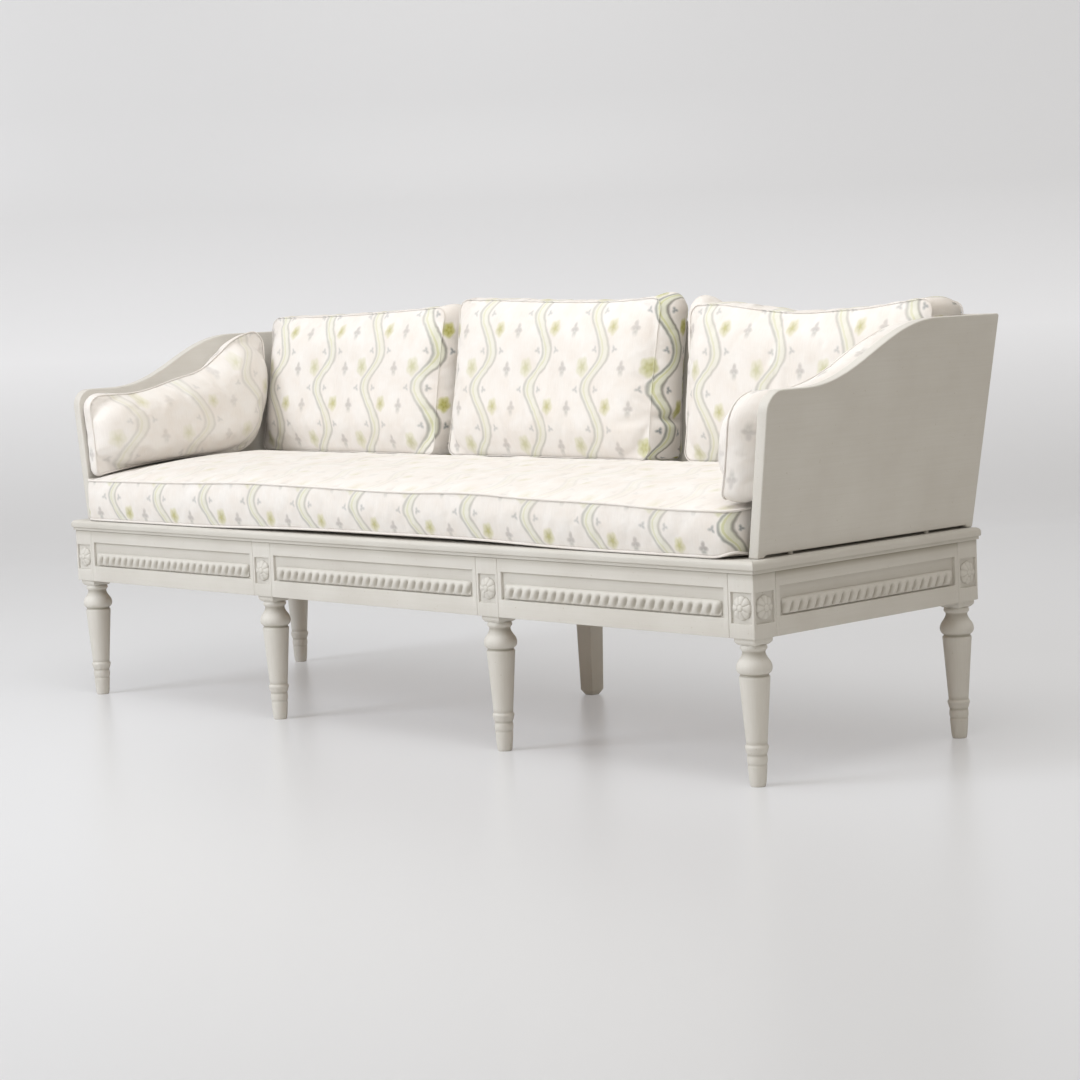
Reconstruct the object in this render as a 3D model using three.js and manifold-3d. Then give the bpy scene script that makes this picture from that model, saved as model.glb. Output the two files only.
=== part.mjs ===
// A painted settee: a long frame on seven legs, leaning boarded ends and back, and six loose cushions.
// Millimetres. +X runs to the right end seen from the front, +Y to the back, +Z up from the soles.
import * as THREE from "three";
import { mergeVertices } from "three/addons/utils/BufferGeometryUtils.js";
import Module from "manifold-3d";

const wasm = await Module();
wasm.setup();

// Frame
const frameLength = 2000; // over the corner posts
const frameDepth = 627;
const legHeight = 258; // sole to the underside of the rails
const railHeight = 112;
const railThickness = 28;
const postWidth = 58;
const middleLegPlace = 338; // centre of the frame to a middle front leg
const fit = 0.3; // gap between two pieces that lie on each other
const overrun = 2; // how far a joining or cutting body passes a face

// Turned legs
const bulbDiameter = 63;
const blockWidth = 48;
const blockDrop = 12; // square block below the rails
const blockCorner = 5;
const turnedSides = 16;
// Radius as a share of the bulb's, height as a share of the turned length, from the sole up
const turnedShares = [
  [0.4, 0], [0.48, 0.016], [0.54, 0.1], [0.54, 0.175], [0.47, 0.186], [0.54, 0.2], [0.67, 0.28],
  [0.56, 0.293], [0.84, 0.775], [0.74, 0.787], [0.86, 0.8], [1, 0.835], [0.93, 0.87], [0.73, 0.905],
  [0.62, 0.945], [0.66, 0.965], [0.75, 0.978],
];

// Square rear middle leg
const squareLegTop = 44;
const squareLegSole = 35;
const squareLegPoint = 11; // height of the cut edges at the sole
const squareLegCut = 7;

// Carved panels of the rails
const recessDepth = 5;
const recessHeight = 52;
const recessRise = 34; // underside of the rail to the recess
const recessEnd = 10; // end of the rail to the recess
const ropeHeight = 28;
const ropeDepth = 9;
const ropeRise = 2; // foot of the recess to the rope
const ropeEnd = 8; // end of the recess to the rope
const ropeSteps = 4;

// Rosettes on the leg blocks
const tabletWidth = 46;
const tabletHeight = 54;
const tabletDepth = 4;
const tabletRise = 26; // underside of the rails to the tablet
const rosetteDiameter = 42;
const rosetteDepth = 9;
const rosetteRim = 3;
const rosetteSides = 14;
const rosetteSteps = 3;

// Top moulding
const mouldingThickness = 22;
const mouldingOverhang = 6;
const lipHeight = 6;
const lipSetback = 3;
const noseRadius = 8;
const noseSteps = 3;

// Seat deck and inner rails
const seatBoards = 6;
const seatBoardGap = 3;
const ledgerWidth = 50;
const ledgerHeight = 30;
const crossRailThickness = 26;
const crossRailHeight = 60;
const cornerBlockLength = 42;
const cornerBlockHeight = 60;
const cornerBlockBevel = 12;

// End boards and back
const boardThickness = 22;
const backThickness = 18;
const endInset = 11; // end of the frame to the outer face of an end board at its foot
const endSetback = 27; // front of the frame to the front edge of an end board
const backOverhang = 3; // rear of the posts to the rear face of the back at its foot
const endLean = THREE.MathUtils.degToRad(7);
const backRake = THREE.MathUtils.degToRad(4.8);
const endFrontHeight = 287; // above the moulding
const endRearHeight = 393;
const endCorner = 38;
const sweepStart = 96; // front edge to where the top begins to rise
const sweepLength = 360;
const sweepHandle = 150;
const sweepSteps = 10;
const shadowHeight = 5; // hollow along the foot of an end board
const shadowEnd = 16;
const boardRound = 3;
const roundSteps = 2;
const dowelDiameter = 10;
const dowelReach = 24; // into the end board
const dowelInset = 123.5; // end of the frame's depth to a dowel
const dowelSides = 12;

// Cushions
const seatBoxing = 90;
const seatCrown = 32;
const seatCornerRadius = 34;
const seatDrawDepth = 3; // how far a side is drawn in between its corners
const seatBulgeDepth = 4; // how far the boxing swells between its seams
const seatSideGap = 12;
const seatRearGap = 6;
const seatPeak = 80; // middle of the frame to the highest line of the seat cushion
const seatEndSlopeLength = 70; // end of the seat cushion to its level top
const seatRest = 1.5; // seat cushion to what lies on it
const backCushionHeight = 318;
const backCushionBoxing = 92;
const backCushionCrown = 26;
const backCushionRearCrown = 7;
const backCushionCornerRadius = 42;
const backCushionDrawDepth = 7;
const backCushionBulgeDepth = 3;
const backCushionSideGap = 6; // end board at the seat's seam to the row of back cushions
const leftCushionGap = 45; // left to middle back cushion
const rightCushionGap = 99; // middle to right back cushion
const sideBoxing = 52;
const sideCrown = 34;
const sideOuterCrown = 4;
const sideCornerRadius = 34;
const sideDrawDepth = 4;
const sideBulgeDepth = 3;
const sideFrontInset = 8; // front edge of the end board to the cushion
const sideTopInset = 14; // top edge of the end board to the cushion
const sidePull = 16; // inner seam ahead of the outer one at the front
const sideFootGap = 42; // back cushion to the foot of a side cushion
const sideTopGap = 24;
const ringShares = [0.35, 0.62, 0.82, 0.94, 1];
const footShares = [0, 0.25, 0.5, 0.75, 1]; // places along the foot of a side cushion
const outlineSteps = 3;

// Levels and places worked out from the sizes above
const railTop = legHeight + railHeight;
const mouldingBase = railTop + fit;
const baseTop = mouldingBase + mouldingThickness;
const boardFoot = baseTop + fit;
const halfLength = frameLength / 2;
const halfDepth = frameDepth / 2;
const openingX = halfLength - postWidth;
const openingY = halfDepth - postWidth;
const dowelPlace = halfDepth - dowelInset; // middle of the frame to a dowel
const recessFoot = legHeight + recessRise;
const recessMiddle = recessFoot + recessHeight / 2;
const ropeMiddle = recessFoot + ropeRise + ropeHeight / 2;
const tabletMiddle = legHeight + tabletRise + tabletHeight / 2;
const endInner = halfLength - endInset - boardThickness; // inner face of an end board at its foot
const endFront = endSetback - halfDepth;
const backOuter = halfDepth + backOverhang; // rear face of the back at its foot
const backInner = backOuter - backThickness;
const leanSlope = Math.tan(endLean);
const rakeSlope = Math.tan(backRake);
const rightTurn = Math.PI / 2; // turns a piece made for the front to the right end
const leftTurn = -Math.PI / 2;

// Materials
function paint() {
  return new THREE.MeshStandardMaterial({ color: 0xcdcac2, roughness: 0.55, metalness: 0 });
}

function rawWood() {
  return new THREE.MeshStandardMaterial({ color: 0xb89a72, roughness: 0.8, metalness: 0 });
}

function cloth() {
  return new THREE.MeshStandardMaterial({ color: 0xf5f0e4, roughness: 0.95, metalness: 0 });
}

function named(name, geometry, material) {
  const mesh = new THREE.Mesh(geometry, material);
  mesh.name = name;
  return mesh;
}

// Joining and cutting
function solidOf(geometry) {
  const bare = geometry.clone();
  bare.deleteAttribute("normal");
  bare.deleteAttribute("uv");
  const merged = mergeVertices(bare);
  const vertProperties = merged.attributes.position.array;
  const triVerts = new Uint32Array(merged.index.array);
  return new wasm.Manifold(new wasm.Mesh({ numProp: 3, vertProperties, triVerts }));
}

function geometryOf(solid) {
  const { vertProperties, triVerts } = solid.getMesh();
  const geometry = new THREE.BufferGeometry();
  geometry.setAttribute("position", new THREE.BufferAttribute(vertProperties, 3));
  geometry.setIndex(new THREE.BufferAttribute(triVerts, 1));
  const faceted = geometry.toNonIndexed();
  faceted.computeVertexNormals();
  return faceted;
}

function joined(...geometries) {
  return geometryOf(geometries.map(solidOf).reduce((whole, piece) => whole.add(piece)));
}

function cut(geometry, tools) {
  return geometryOf(tools.map(solidOf).reduce((whole, tool) => whole.subtract(tool), solidOf(geometry)));
}

// Simple bodies
function standingBlock(width, depth, height) {
  return new THREE.BoxGeometry(width, depth, height).translate(0, 0, height / 2);
}

function blockBetween(low, high) {
  const size = new THREE.Vector3().subVectors(high, low);
  const middle = new THREE.Vector3().addVectors(low, high).divideScalar(2);
  return new THREE.BoxGeometry(size.x, size.y, size.z).translate(middle.x, middle.y, middle.z);
}

function standingCylinder(radius, height, sides) {
  const cylinder = new THREE.CylinderGeometry(radius, radius, height, sides);
  return cylinder.rotateX(Math.PI / 2).translate(0, 0, height / 2);
}

// Turns an extrusion so that its outline stands in the YZ plane and its depth runs along +X
function alongX(geometry) {
  const yAxis = new THREE.Vector3(0, 1, 0);
  const zAxis = new THREE.Vector3(0, 0, 1);
  const xAxis = new THREE.Vector3(1, 0, 0);
  return geometry.applyMatrix4(new THREE.Matrix4().makeBasis(yAxis, zAxis, xAxis));
}

// Slants an upright body: x and y move by the two slopes times the height
function slanted(geometry, slopeX, slopeY) {
  return geometry.applyMatrix4(new THREE.Matrix4().makeShear(0, 0, 0, 0, slopeX, slopeY));
}

// Legs
function turnedGeometry() {
  const turnedLength = legHeight - blockDrop;
  const radius = bulbDiameter / 2;
  const profile = [new THREE.Vector2(0, 0)];
  for (const [radiusShare, heightShare] of turnedShares) {
    profile.push(new THREE.Vector2(radiusShare * radius, heightShare * turnedLength));
  }
  const neck = profile[profile.length - 1].x;
  profile.push(new THREE.Vector2(neck, turnedLength + overrun));
  profile.push(new THREE.Vector2(0, turnedLength + overrun));
  return new THREE.LatheGeometry(profile, turnedSides).rotateX(Math.PI / 2);
}

// The square block between the turning and the rails, with its lower edges cut away
function legBlockGeometry() {
  const half = blockWidth / 2;
  const profile = [
    new THREE.Vector2(0, 0),
    new THREE.Vector2(half - blockCorner, 0),
    new THREE.Vector2(half, blockCorner),
    new THREE.Vector2(half, blockDrop + overrun),
    new THREE.Vector2(0, blockDrop + overrun),
  ];
  return squareTurning(profile).translate(0, 0, legHeight - blockDrop);
}

// A body with four flat sides from a profile of half widths and heights
function squareTurning(profile) {
  const turned = new THREE.LatheGeometry(profile, 4, Math.PI / 4);
  return turned.scale(Math.SQRT2, 1, Math.SQRT2).rotateX(Math.PI / 2);
}

// The sunk tablet in the outer face of a post that carries a rosette
function tabletCutter(turn) {
  const cutter = new THREE.BoxGeometry(tabletWidth, tabletDepth + overrun, tabletHeight);
  return cutter.translate(0, (tabletDepth - overrun - postWidth) / 2, tabletMiddle).rotateZ(turn);
}

function turnedLeg(name, x, y, turns) {
  const post = standingBlock(postWidth, postWidth, railHeight).translate(0, 0, legHeight);
  const leg = joined(turnedGeometry(), legBlockGeometry(), post);
  const mesh = named(name, cut(leg, turns.map(tabletCutter)), paint());
  mesh.position.set(x, y, 0);
  return mesh;
}

function rearMiddleLeg() {
  const top = squareLegTop / 2;
  const sole = squareLegSole / 2;
  const profile = [
    new THREE.Vector2(0, 0),
    new THREE.Vector2(sole - squareLegCut, 0),
    new THREE.Vector2(sole, squareLegPoint),
    new THREE.Vector2(top, legHeight),
    new THREE.Vector2(top, railTop),
    new THREE.Vector2(0, railTop),
  ];
  const mesh = named("leg_rear_middle", squareTurning(profile), paint());
  mesh.position.set(0, halfDepth - top, 0);
  return mesh;
}

// Where each turned leg stands, and to which sides its post shows a rosette
function turnedLegPlaces() {
  const x = halfLength - postWidth / 2;
  const y = halfDepth - postWidth / 2;
  return [
    { name: "front_left", x: -x, y: -y, turns: [0, leftTurn] },
    { name: "front_middle_left", x: -middleLegPlace, y: -y, turns: [0] },
    { name: "front_middle_right", x: middleLegPlace, y: -y, turns: [0] },
    { name: "front_right", x, y: -y, turns: [0, rightTurn] },
    { name: "rear_left", x: -x, y, turns: [leftTurn] },
    { name: "rear_right", x, y, turns: [rightTurn] },
  ];
}

function rosetteGeometry() {
  const radius = rosetteDiameter / 2;
  const rise = rosetteDepth - rosetteRim;
  const dome = new THREE.EllipseCurve(0, rosetteRim, radius, rise, 0, Math.PI / 2).getPoints(rosetteSteps);
  dome[dome.length - 1].x = 0;
  const profile = [new THREE.Vector2(0, 0), new THREE.Vector2(radius, 0), ...dome];
  return new THREE.LatheGeometry(profile, rosetteSides).rotateX(Math.PI);
}

function rosettes({ name, x, y, turns }) {
  return turns.map((turn) => {
    const face = turn === 0 ? "front" : "end";
    const geometry = rosetteGeometry().translate(0, tabletDepth - fit - postWidth / 2, tabletMiddle);
    const mesh = named(`rosette_${name}_${face}`, geometry, paint());
    mesh.rotation.z = turn;
    mesh.position.set(x, y, 0);
    return mesh;
  });
}

function legsWithRosettes() {
  const places = turnedLegPlaces();
  const legs = places.map(({ name, x, y, turns }) => turnedLeg(`leg_${name}`, x, y, turns));
  return [...legs, ...places.flatMap(rosettes), rearMiddleLeg()];
}

// A carved rail and its rope, made for the front and turned about the middle of the frame
function railGeometry(length) {
  return standingBlock(length, railThickness, railHeight).translate(0, railThickness / 2, legHeight);
}

function recessCutter(length) {
  const cutter = new THREE.BoxGeometry(length - 2 * recessEnd, recessDepth + overrun, recessHeight);
  return cutter.translate(0, (recessDepth - overrun) / 2, recessMiddle);
}

function ropeGeometry(length) {
  const half = ropeHeight / 2;
  const round = new THREE.EllipseCurve(0, 0, ropeDepth, half, Math.PI / 2, Math.PI * 1.5);
  const outline = new THREE.Shape(round.getPoints(ropeSteps * 2));
  const depth = length - 2 * (recessEnd + ropeEnd);
  const rope = alongX(new THREE.ExtrudeGeometry(outline, { depth, bevelEnabled: false }));
  return rope.translate(-depth / 2, recessDepth - fit, ropeMiddle);
}

function carvedRail({ name, from, to, face, turn }) {
  const length = to - from - 2 * fit;
  const rail = named(`rail_${name}`, cut(railGeometry(length), [recessCutter(length)]), paint());
  const rope = named(`rope_${name}`, ropeGeometry(length), paint());
  const pair = new THREE.Group();
  pair.add(rail, rope);
  pair.position.set((from + to) / 2, -face, 0);
  const turned = new THREE.Group();
  turned.add(pair);
  turned.rotation.z = turn;
  return turned;
}

function rearRail(name, side) {
  const near = squareLegTop / 2 + fit;
  const far = openingX - fit;
  const geometry = railGeometry(far - near).translate((near + far) / 2, -railThickness, 0);
  const mesh = named(name, geometry, paint());
  mesh.position.y = halfDepth;
  mesh.scale.x = side;
  return mesh;
}

function rails() {
  const middle = middleLegPlace - postWidth / 2;
  const outer = middleLegPlace + postWidth / 2;
  return [
    carvedRail({ name: "front_left", from: -openingX, to: -outer, face: halfDepth, turn: 0 }),
    carvedRail({ name: "front_middle", from: -middle, to: middle, face: halfDepth, turn: 0 }),
    carvedRail({ name: "front_right", from: outer, to: openingX, face: halfDepth, turn: 0 }),
    carvedRail({ name: "end_left", from: -openingY, to: openingY, face: halfLength, turn: leftTurn }),
    carvedRail({ name: "end_right", from: -openingY, to: openingY, face: halfLength, turn: rightTurn }),
    rearRail("rail_rear_left", -1),
    rearRail("rail_rear_right", 1),
  ];
}

// Top moulding: four strips with mitred ends, the outer edge of each at y = 0
function mouldingProfile() {
  const width = mouldingOverhang + postWidth;
  const top = mouldingThickness;
  const profile = new THREE.Shape();
  profile.moveTo(width, 0);
  profile.lineTo(width, top);
  profile.lineTo(noseRadius, top);
  profile.absarc(noseRadius, top - noseRadius, noseRadius, Math.PI / 2, Math.PI, false);
  profile.lineTo(0, lipHeight);
  profile.lineTo(lipSetback, lipHeight);
  profile.lineTo(lipSetback, 0);
  return profile;
}

function mitredStrip(length) {
  const unit = { depth: 1, bevelEnabled: false, curveSegments: noseSteps };
  const strip = alongX(new THREE.ExtrudeGeometry(mouldingProfile(), unit));
  const places = strip.attributes.position;
  for (let i = 0; i < places.count; i += 1) {
    const half = length / 2 - places.getY(i) - fit;
    places.setX(i, (2 * places.getX(i) - 1) * half);
  }
  return strip;
}

// A dowel's hole from the underside of a piece up to a height in it
function dowelHole(x, y, height) {
  const hole = standingCylinder(dowelDiameter / 2 + fit, height + overrun, dowelSides);
  return hole.translate(x, y, -overrun);
}

function moulding(name, length, face, turn, holes) {
  const mesh = named(`moulding_${name}`, cut(mitredStrip(length), holes), paint());
  mesh.position.set(0, -face, mouldingBase);
  const turned = new THREE.Group();
  turned.add(mesh);
  turned.rotation.z = turn;
  return turned;
}

function mouldings() {
  const length = frameLength + 2 * mouldingOverhang;
  const depth = frameDepth + 2 * mouldingOverhang;
  const inward = length / 2 - endInner - boardThickness / 2;
  const through = mouldingThickness + overrun;
  const holes = [-dowelPlace, dowelPlace].map((along) => dowelHole(along, inward, through));
  return [
    moulding("front", length, depth / 2, 0, []),
    moulding("rear", length, depth / 2, Math.PI, []),
    moulding("left", depth, length / 2, leftTurn, holes),
    moulding("right", depth, length / 2, rightTurn, holes),
  ];
}

// Seat deck
function seatDeck() {
  const inside = 2 * (openingX - fit);
  const width = (inside - (seatBoards - 1) * seatBoardGap) / seatBoards;
  const depth = 2 * (openingY - fit);
  return Array.from({ length: seatBoards }, (_, i) => {
    const mesh = named(`seat_board_${i + 1}`, standingBlock(width, depth, mouldingThickness), rawWood());
    mesh.position.set((i - (seatBoards - 1) / 2) * (width + seatBoardGap), 0, mouldingBase);
    return mesh;
  });
}

// A strip inside a long rail that carries the seat boards, notched round the posts it passes
function ledger(name, posts) {
  const outer = railThickness + fit - halfDepth;
  const low = new THREE.Vector3(fit - openingX, outer, railTop - ledgerHeight);
  const high = new THREE.Vector3(openingX - fit, outer + ledgerWidth, railTop);
  const notches = posts.map(({ x, width }) => {
    const half = width / 2 + fit;
    const from = new THREE.Vector3(x - half, outer - overrun, low.z - overrun);
    const to = new THREE.Vector3(x + half, width + fit - halfDepth, high.z + overrun);
    return blockBetween(from, to);
  });
  return named(name, cut(blockBetween(low, high), notches), rawWood());
}

function crossRail(name, x) {
  const rear = halfDepth - railThickness - fit;
  const front = fit - openingY;
  const top = railTop - ledgerHeight - fit;
  const geometry = standingBlock(crossRailThickness, rear - front, crossRailHeight);
  const mesh = named(name, geometry, rawWood());
  mesh.position.set(x, (rear + front) / 2, top - crossRailHeight);
  return mesh;
}

// A glued block in the corner between a post and an end rail
function cornerBlock(name, sideX, sideY) {
  const width = postWidth - railThickness - 2 * fit;
  const outline = new THREE.Shape();
  outline.moveTo(0, 0);
  outline.lineTo(width, 0);
  outline.lineTo(width, -cornerBlockLength);
  outline.lineTo(cornerBlockBevel, -cornerBlockLength);
  outline.lineTo(0, cornerBlockBevel - cornerBlockLength);
  const body = new THREE.ExtrudeGeometry(outline, { depth: cornerBlockHeight, bevelEnabled: false });
  const mesh = named(name, body, rawWood());
  const bottom = railTop - ledgerHeight - cornerBlockHeight;
  mesh.position.set(sideX * (openingX + fit), sideY * (openingY - fit), bottom);
  mesh.scale.set(sideX, sideY, 1);
  return mesh;
}

function innerFrame() {
  const rearLedger = ledger("ledger_rear", [{ x: 0, width: squareLegTop }]);
  rearLedger.rotation.z = Math.PI;
  const frontPosts = [-middleLegPlace, middleLegPlace].map((x) => ({ x, width: postWidth }));
  return [
    ledger("ledger_front", frontPosts),
    rearLedger,
    crossRail("cross_rail_left", -middleLegPlace),
    crossRail("cross_rail_right", middleLegPlace),
    cornerBlock("corner_block_front_left", -1, -1),
    cornerBlock("corner_block_front_right", 1, -1),
    cornerBlock("corner_block_rear_left", -1, 1),
    cornerBlock("corner_block_rear_right", 1, 1),
  ];
}

// The sweep of an end's top, from its level front part up to its level rear part
function endSweep() {
  const start = endFront + sweepStart;
  const end = start + sweepLength;
  const path = new THREE.Path();
  const low = endFrontHeight;
  const high = endRearHeight;
  path.moveTo(start, low);
  path.bezierCurveTo(start + sweepHandle, low, end - sweepHandle, high, end, high);
  return path.getPoints(sweepSteps);
}

// Outline of an end board in depth and height over its foot
function endOutline() {
  const rear = backOuter;
  const rearTop = backOuter + rakeSlope * endRearHeight;
  const outline = new THREE.Shape();
  outline.moveTo(endFront, 0);
  outline.lineTo(endFront + shadowEnd, 0);
  outline.lineTo(endFront + shadowEnd + shadowHeight, shadowHeight);
  outline.lineTo(rear - shadowEnd - shadowHeight, shadowHeight);
  outline.lineTo(rear - shadowEnd, 0);
  outline.lineTo(rear, 0);
  outline.lineTo(rearTop, endRearHeight);
  endSweep().reverse().forEach((point) => outline.lineTo(point.x, point.y));
  const centre = endFrontHeight - endCorner;
  outline.absarc(endFront + endCorner, centre, endCorner, Math.PI / 2, Math.PI, false);
  return outline;
}

function endBoard(name, side) {
  const settings = {
    depth: boardThickness - 2 * boardRound,
    bevelThickness: boardRound,
    bevelSize: boardRound,
    bevelOffset: -boardRound,
    bevelSegments: roundSteps,
    curveSegments: sweepSteps / 2,
  };
  const flat = new THREE.ExtrudeGeometry(endOutline(), settings).translate(0, 0, boardRound);
  const board = slanted(alongX(flat), leanSlope, 0);
  const places = [-dowelPlace, dowelPlace];
  const holes = places.map((y) => dowelHole(boardThickness / 2, y, dowelReach));
  const mesh = named(name, cut(board, holes), paint());
  mesh.position.set(side * endInner, 0, boardFoot);
  mesh.scale.x = side;
  return mesh;
}

function backBoard() {
  const foot = endInner - fit;
  const top = foot + leanSlope * endRearHeight;
  const outline = new THREE.Shape();
  outline.moveTo(-foot, 0);
  outline.lineTo(foot, 0);
  outline.lineTo(top, endRearHeight);
  outline.lineTo(-top, endRearHeight);
  const body = new THREE.ExtrudeGeometry(outline, { depth: backThickness, bevelEnabled: false });
  const mesh = named("back_board", slanted(body.rotateX(Math.PI / 2), 0, rakeSlope), paint());
  mesh.position.set(0, backOuter, boardFoot);
  return mesh;
}

function dowel(name, side, y) {
  const bottom = mouldingBase + fit;
  const height = boardFoot + dowelReach - fit - bottom;
  const mesh = named(name, standingCylinder(dowelDiameter / 2, height, dowelSides), rawWood());
  mesh.position.set(side * (endInner + boardThickness / 2), y, bottom);
  return mesh;
}

function endsAndBack() {
  return [
    endBoard("end_board_left", -1),
    endBoard("end_board_right", 1),
    backBoard(),
    dowel("dowel_left_front", -1, -dowelPlace),
    dowel("dowel_left_rear", -1, dowelPlace),
    dowel("dowel_right_front", 1, -dowelPlace),
    dowel("dowel_right_rear", 1, dowelPlace),
  ];
}

// Cushions
// Height of a crown as a share of its middle height, at a share of the way from its middle to its edge
function crownShare(ringShare) {
  return 1 - ringShare ** 2 * Math.sqrt(ringShare);
}

// Outward directions at the points of an outline that runs anticlockwise
function outwards(outline) {
  return outline.map((_, i) => {
    const before = outline[(i + outline.length - 1) % outline.length];
    const after = outline[(i + 1) % outline.length];
    return new THREE.Vector2(after.y - before.y, before.x - after.x).normalize();
  });
}

// A boxed cushion lying on its back: the outline is in XY, the boxing runs up +Z between its two seams.
// Rings shrink towards a spine along X through the middle point, so that both faces swell evenly.
function cushionGeometry({ outline, boxing, crown, backCrown, bulge, middle, spine }) {
  const sides = outwards(outline);
  const ring = (share, z) =>
    outline.map((p) => {
      const anchorX = THREE.MathUtils.clamp(p.x, middle.x - spine, middle.x + spine);
      const x = THREE.MathUtils.lerp(anchorX, p.x, share);
      return new THREE.Vector3(x, THREE.MathUtils.lerp(middle.y, p.y, share), z);
    });
  const under = backCrown > 0 ? ringShares : [1];
  const over = [...ringShares].reverse();
  const swelling = outline.map((p, i) => {
    const place = p.clone().addScaledVector(sides[i], bulge);
    return new THREE.Vector3(place.x, place.y, boxing / 2);
  });
  const rows = [
    ...under.map((share) => ring(share, -backCrown * crownShare(share))),
    swelling,
    ...over.map((share) => ring(share, boxing + crown * crownShare(share))),
  ];
  return skinned(rows);
}

// Closes rows of equal length into one body, with a flat cap on the first and the last row
function skinned(rows) {
  const count = rows[0].length;
  const index = [];
  rows.slice(1).forEach((_, row) => {
    for (let i = 0; i < count; i += 1) {
      const next = (i + 1) % count;
      const low = row * count;
      const high = low + count;
      index.push(low + i, low + next, high + next, low + i, high + next, high + i);
    }
  });
  const first = rows[0].map(({ x, y }) => new THREE.Vector2(x, y));
  const last = rows[rows.length - 1].map(({ x, y }) => new THREE.Vector2(x, y));
  const top = (rows.length - 1) * count;
  THREE.ShapeUtils.triangulateShape(first, []).forEach(([a, b, c]) => index.push(c, b, a));
  THREE.ShapeUtils.triangulateShape(last, []).forEach(([a, b, c]) => index.push(top + a, top + b, top + c));
  const geometry = new THREE.BufferGeometry().setFromPoints(rows.flat());
  geometry.setIndex(index);
  geometry.computeVertexNormals();
  return geometry;
}

// A rectangle on the X axis with rounded corners and sides drawn in between them
function pillowOutline(width, height, corner, draw) {
  const half = width / 2;
  const path = new THREE.Path();
  path.moveTo(corner - half, 0);
  path.quadraticCurveTo(0, 2 * draw, half - corner, 0);
  path.absarc(half - corner, corner, corner, -Math.PI / 2, 0, false);
  path.quadraticCurveTo(half - 2 * draw, height / 2, half, height - corner);
  path.absarc(half - corner, height - corner, corner, 0, Math.PI / 2, false);
  path.quadraticCurveTo(0, height - 2 * draw, corner - half, height);
  path.absarc(corner - half, height - corner, corner, Math.PI / 2, Math.PI, false);
  path.quadraticCurveTo(2 * draw - half, height / 2, -half, corner);
  path.absarc(corner - half, corner, corner, Math.PI, Math.PI * 1.5, false);
  return openPoints(path);
}

// Points of a closed path without those that repeat
function openPoints(path) {
  const points = path.getPoints(outlineSteps);
  return points.filter((p, i) => p.distanceTo(points[(i + 1) % points.length]) > fit);
}

// Seat cushion
const seatFront = -halfDepth;
const seatRear = backInner - seatRearGap;
const seatHalf = endInner - seatSideGap;
const seatSeam = boardFoot + seatBoxing;

// Height of the seat cushion's top on its level part, at a depth of y
function seatTopAt(y) {
  const edge = y < seatPeak ? seatFront : seatRear;
  const share = Math.min(1, (y - seatPeak) / (edge - seatPeak));
  return seatSeam + seatCrown * crownShare(share);
}

function seatCushion() {
  const geometry = cushionGeometry({
    outline: pillowOutline(2 * seatHalf, seatRear - seatFront, seatCornerRadius, seatDrawDepth),
    boxing: seatBoxing,
    crown: seatCrown,
    backCrown: 0,
    bulge: seatBulgeDepth,
    middle: new THREE.Vector2(0, seatPeak - seatFront),
    spine: seatHalf - seatEndSlopeLength,
  });
  const mesh = named("seat_cushion", geometry, cloth());
  mesh.position.set(0, seatFront, boardFoot);
  return mesh;
}

// Back cushions lean on the back, so each is made lying down and turned up by the rake
const backReach = fit + backCushionRearCrown + backCushionBoxing; // back board to the front seam
const backCushionFoot = seatTopAt(frontSeamAt(seatSeam)) + seatRest;
const backRowHalf = endInner + leanSlope * seatBoxing - backCushionSideGap;
const backCushionWidth = (2 * backRowHalf - leftCushionGap - rightCushionGap) / 3;

// Depth of a back cushion's front seam at a height
function frontSeamAt(z) {
  return backInner + rakeSlope * (z - boardFoot) - backReach / Math.cos(backRake);
}

function backCushion(name, x) {
  const height = backCushionHeight;
  const geometry = cushionGeometry({
    outline: pillowOutline(backCushionWidth, height, backCushionCornerRadius, backCushionDrawDepth),
    boxing: backCushionBoxing,
    crown: backCushionCrown,
    backCrown: backCushionRearCrown,
    bulge: backCushionBulgeDepth,
    middle: new THREE.Vector2(0, height / 2),
    spine: (backCushionWidth - height) / 2,
  });
  const mesh = named(name, geometry, cloth());
  const y = frontSeamAt(backCushionFoot) + backCushionBoxing * Math.cos(backRake);
  mesh.position.set(x, y, backCushionFoot - backCushionBoxing * Math.sin(backRake));
  mesh.rotation.x = Math.PI / 2 - backRake;
  return mesh;
}

function backCushions() {
  const left = backCushionWidth / 2 - backRowHalf;
  const middle = left + backCushionWidth + leftCushionGap;
  const right = backRowHalf - backCushionWidth / 2;
  return [
    backCushion("back_cushion_left", left),
    backCushion("back_cushion_middle", middle),
    backCushion("back_cushion_right", right),
  ];
}

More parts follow.
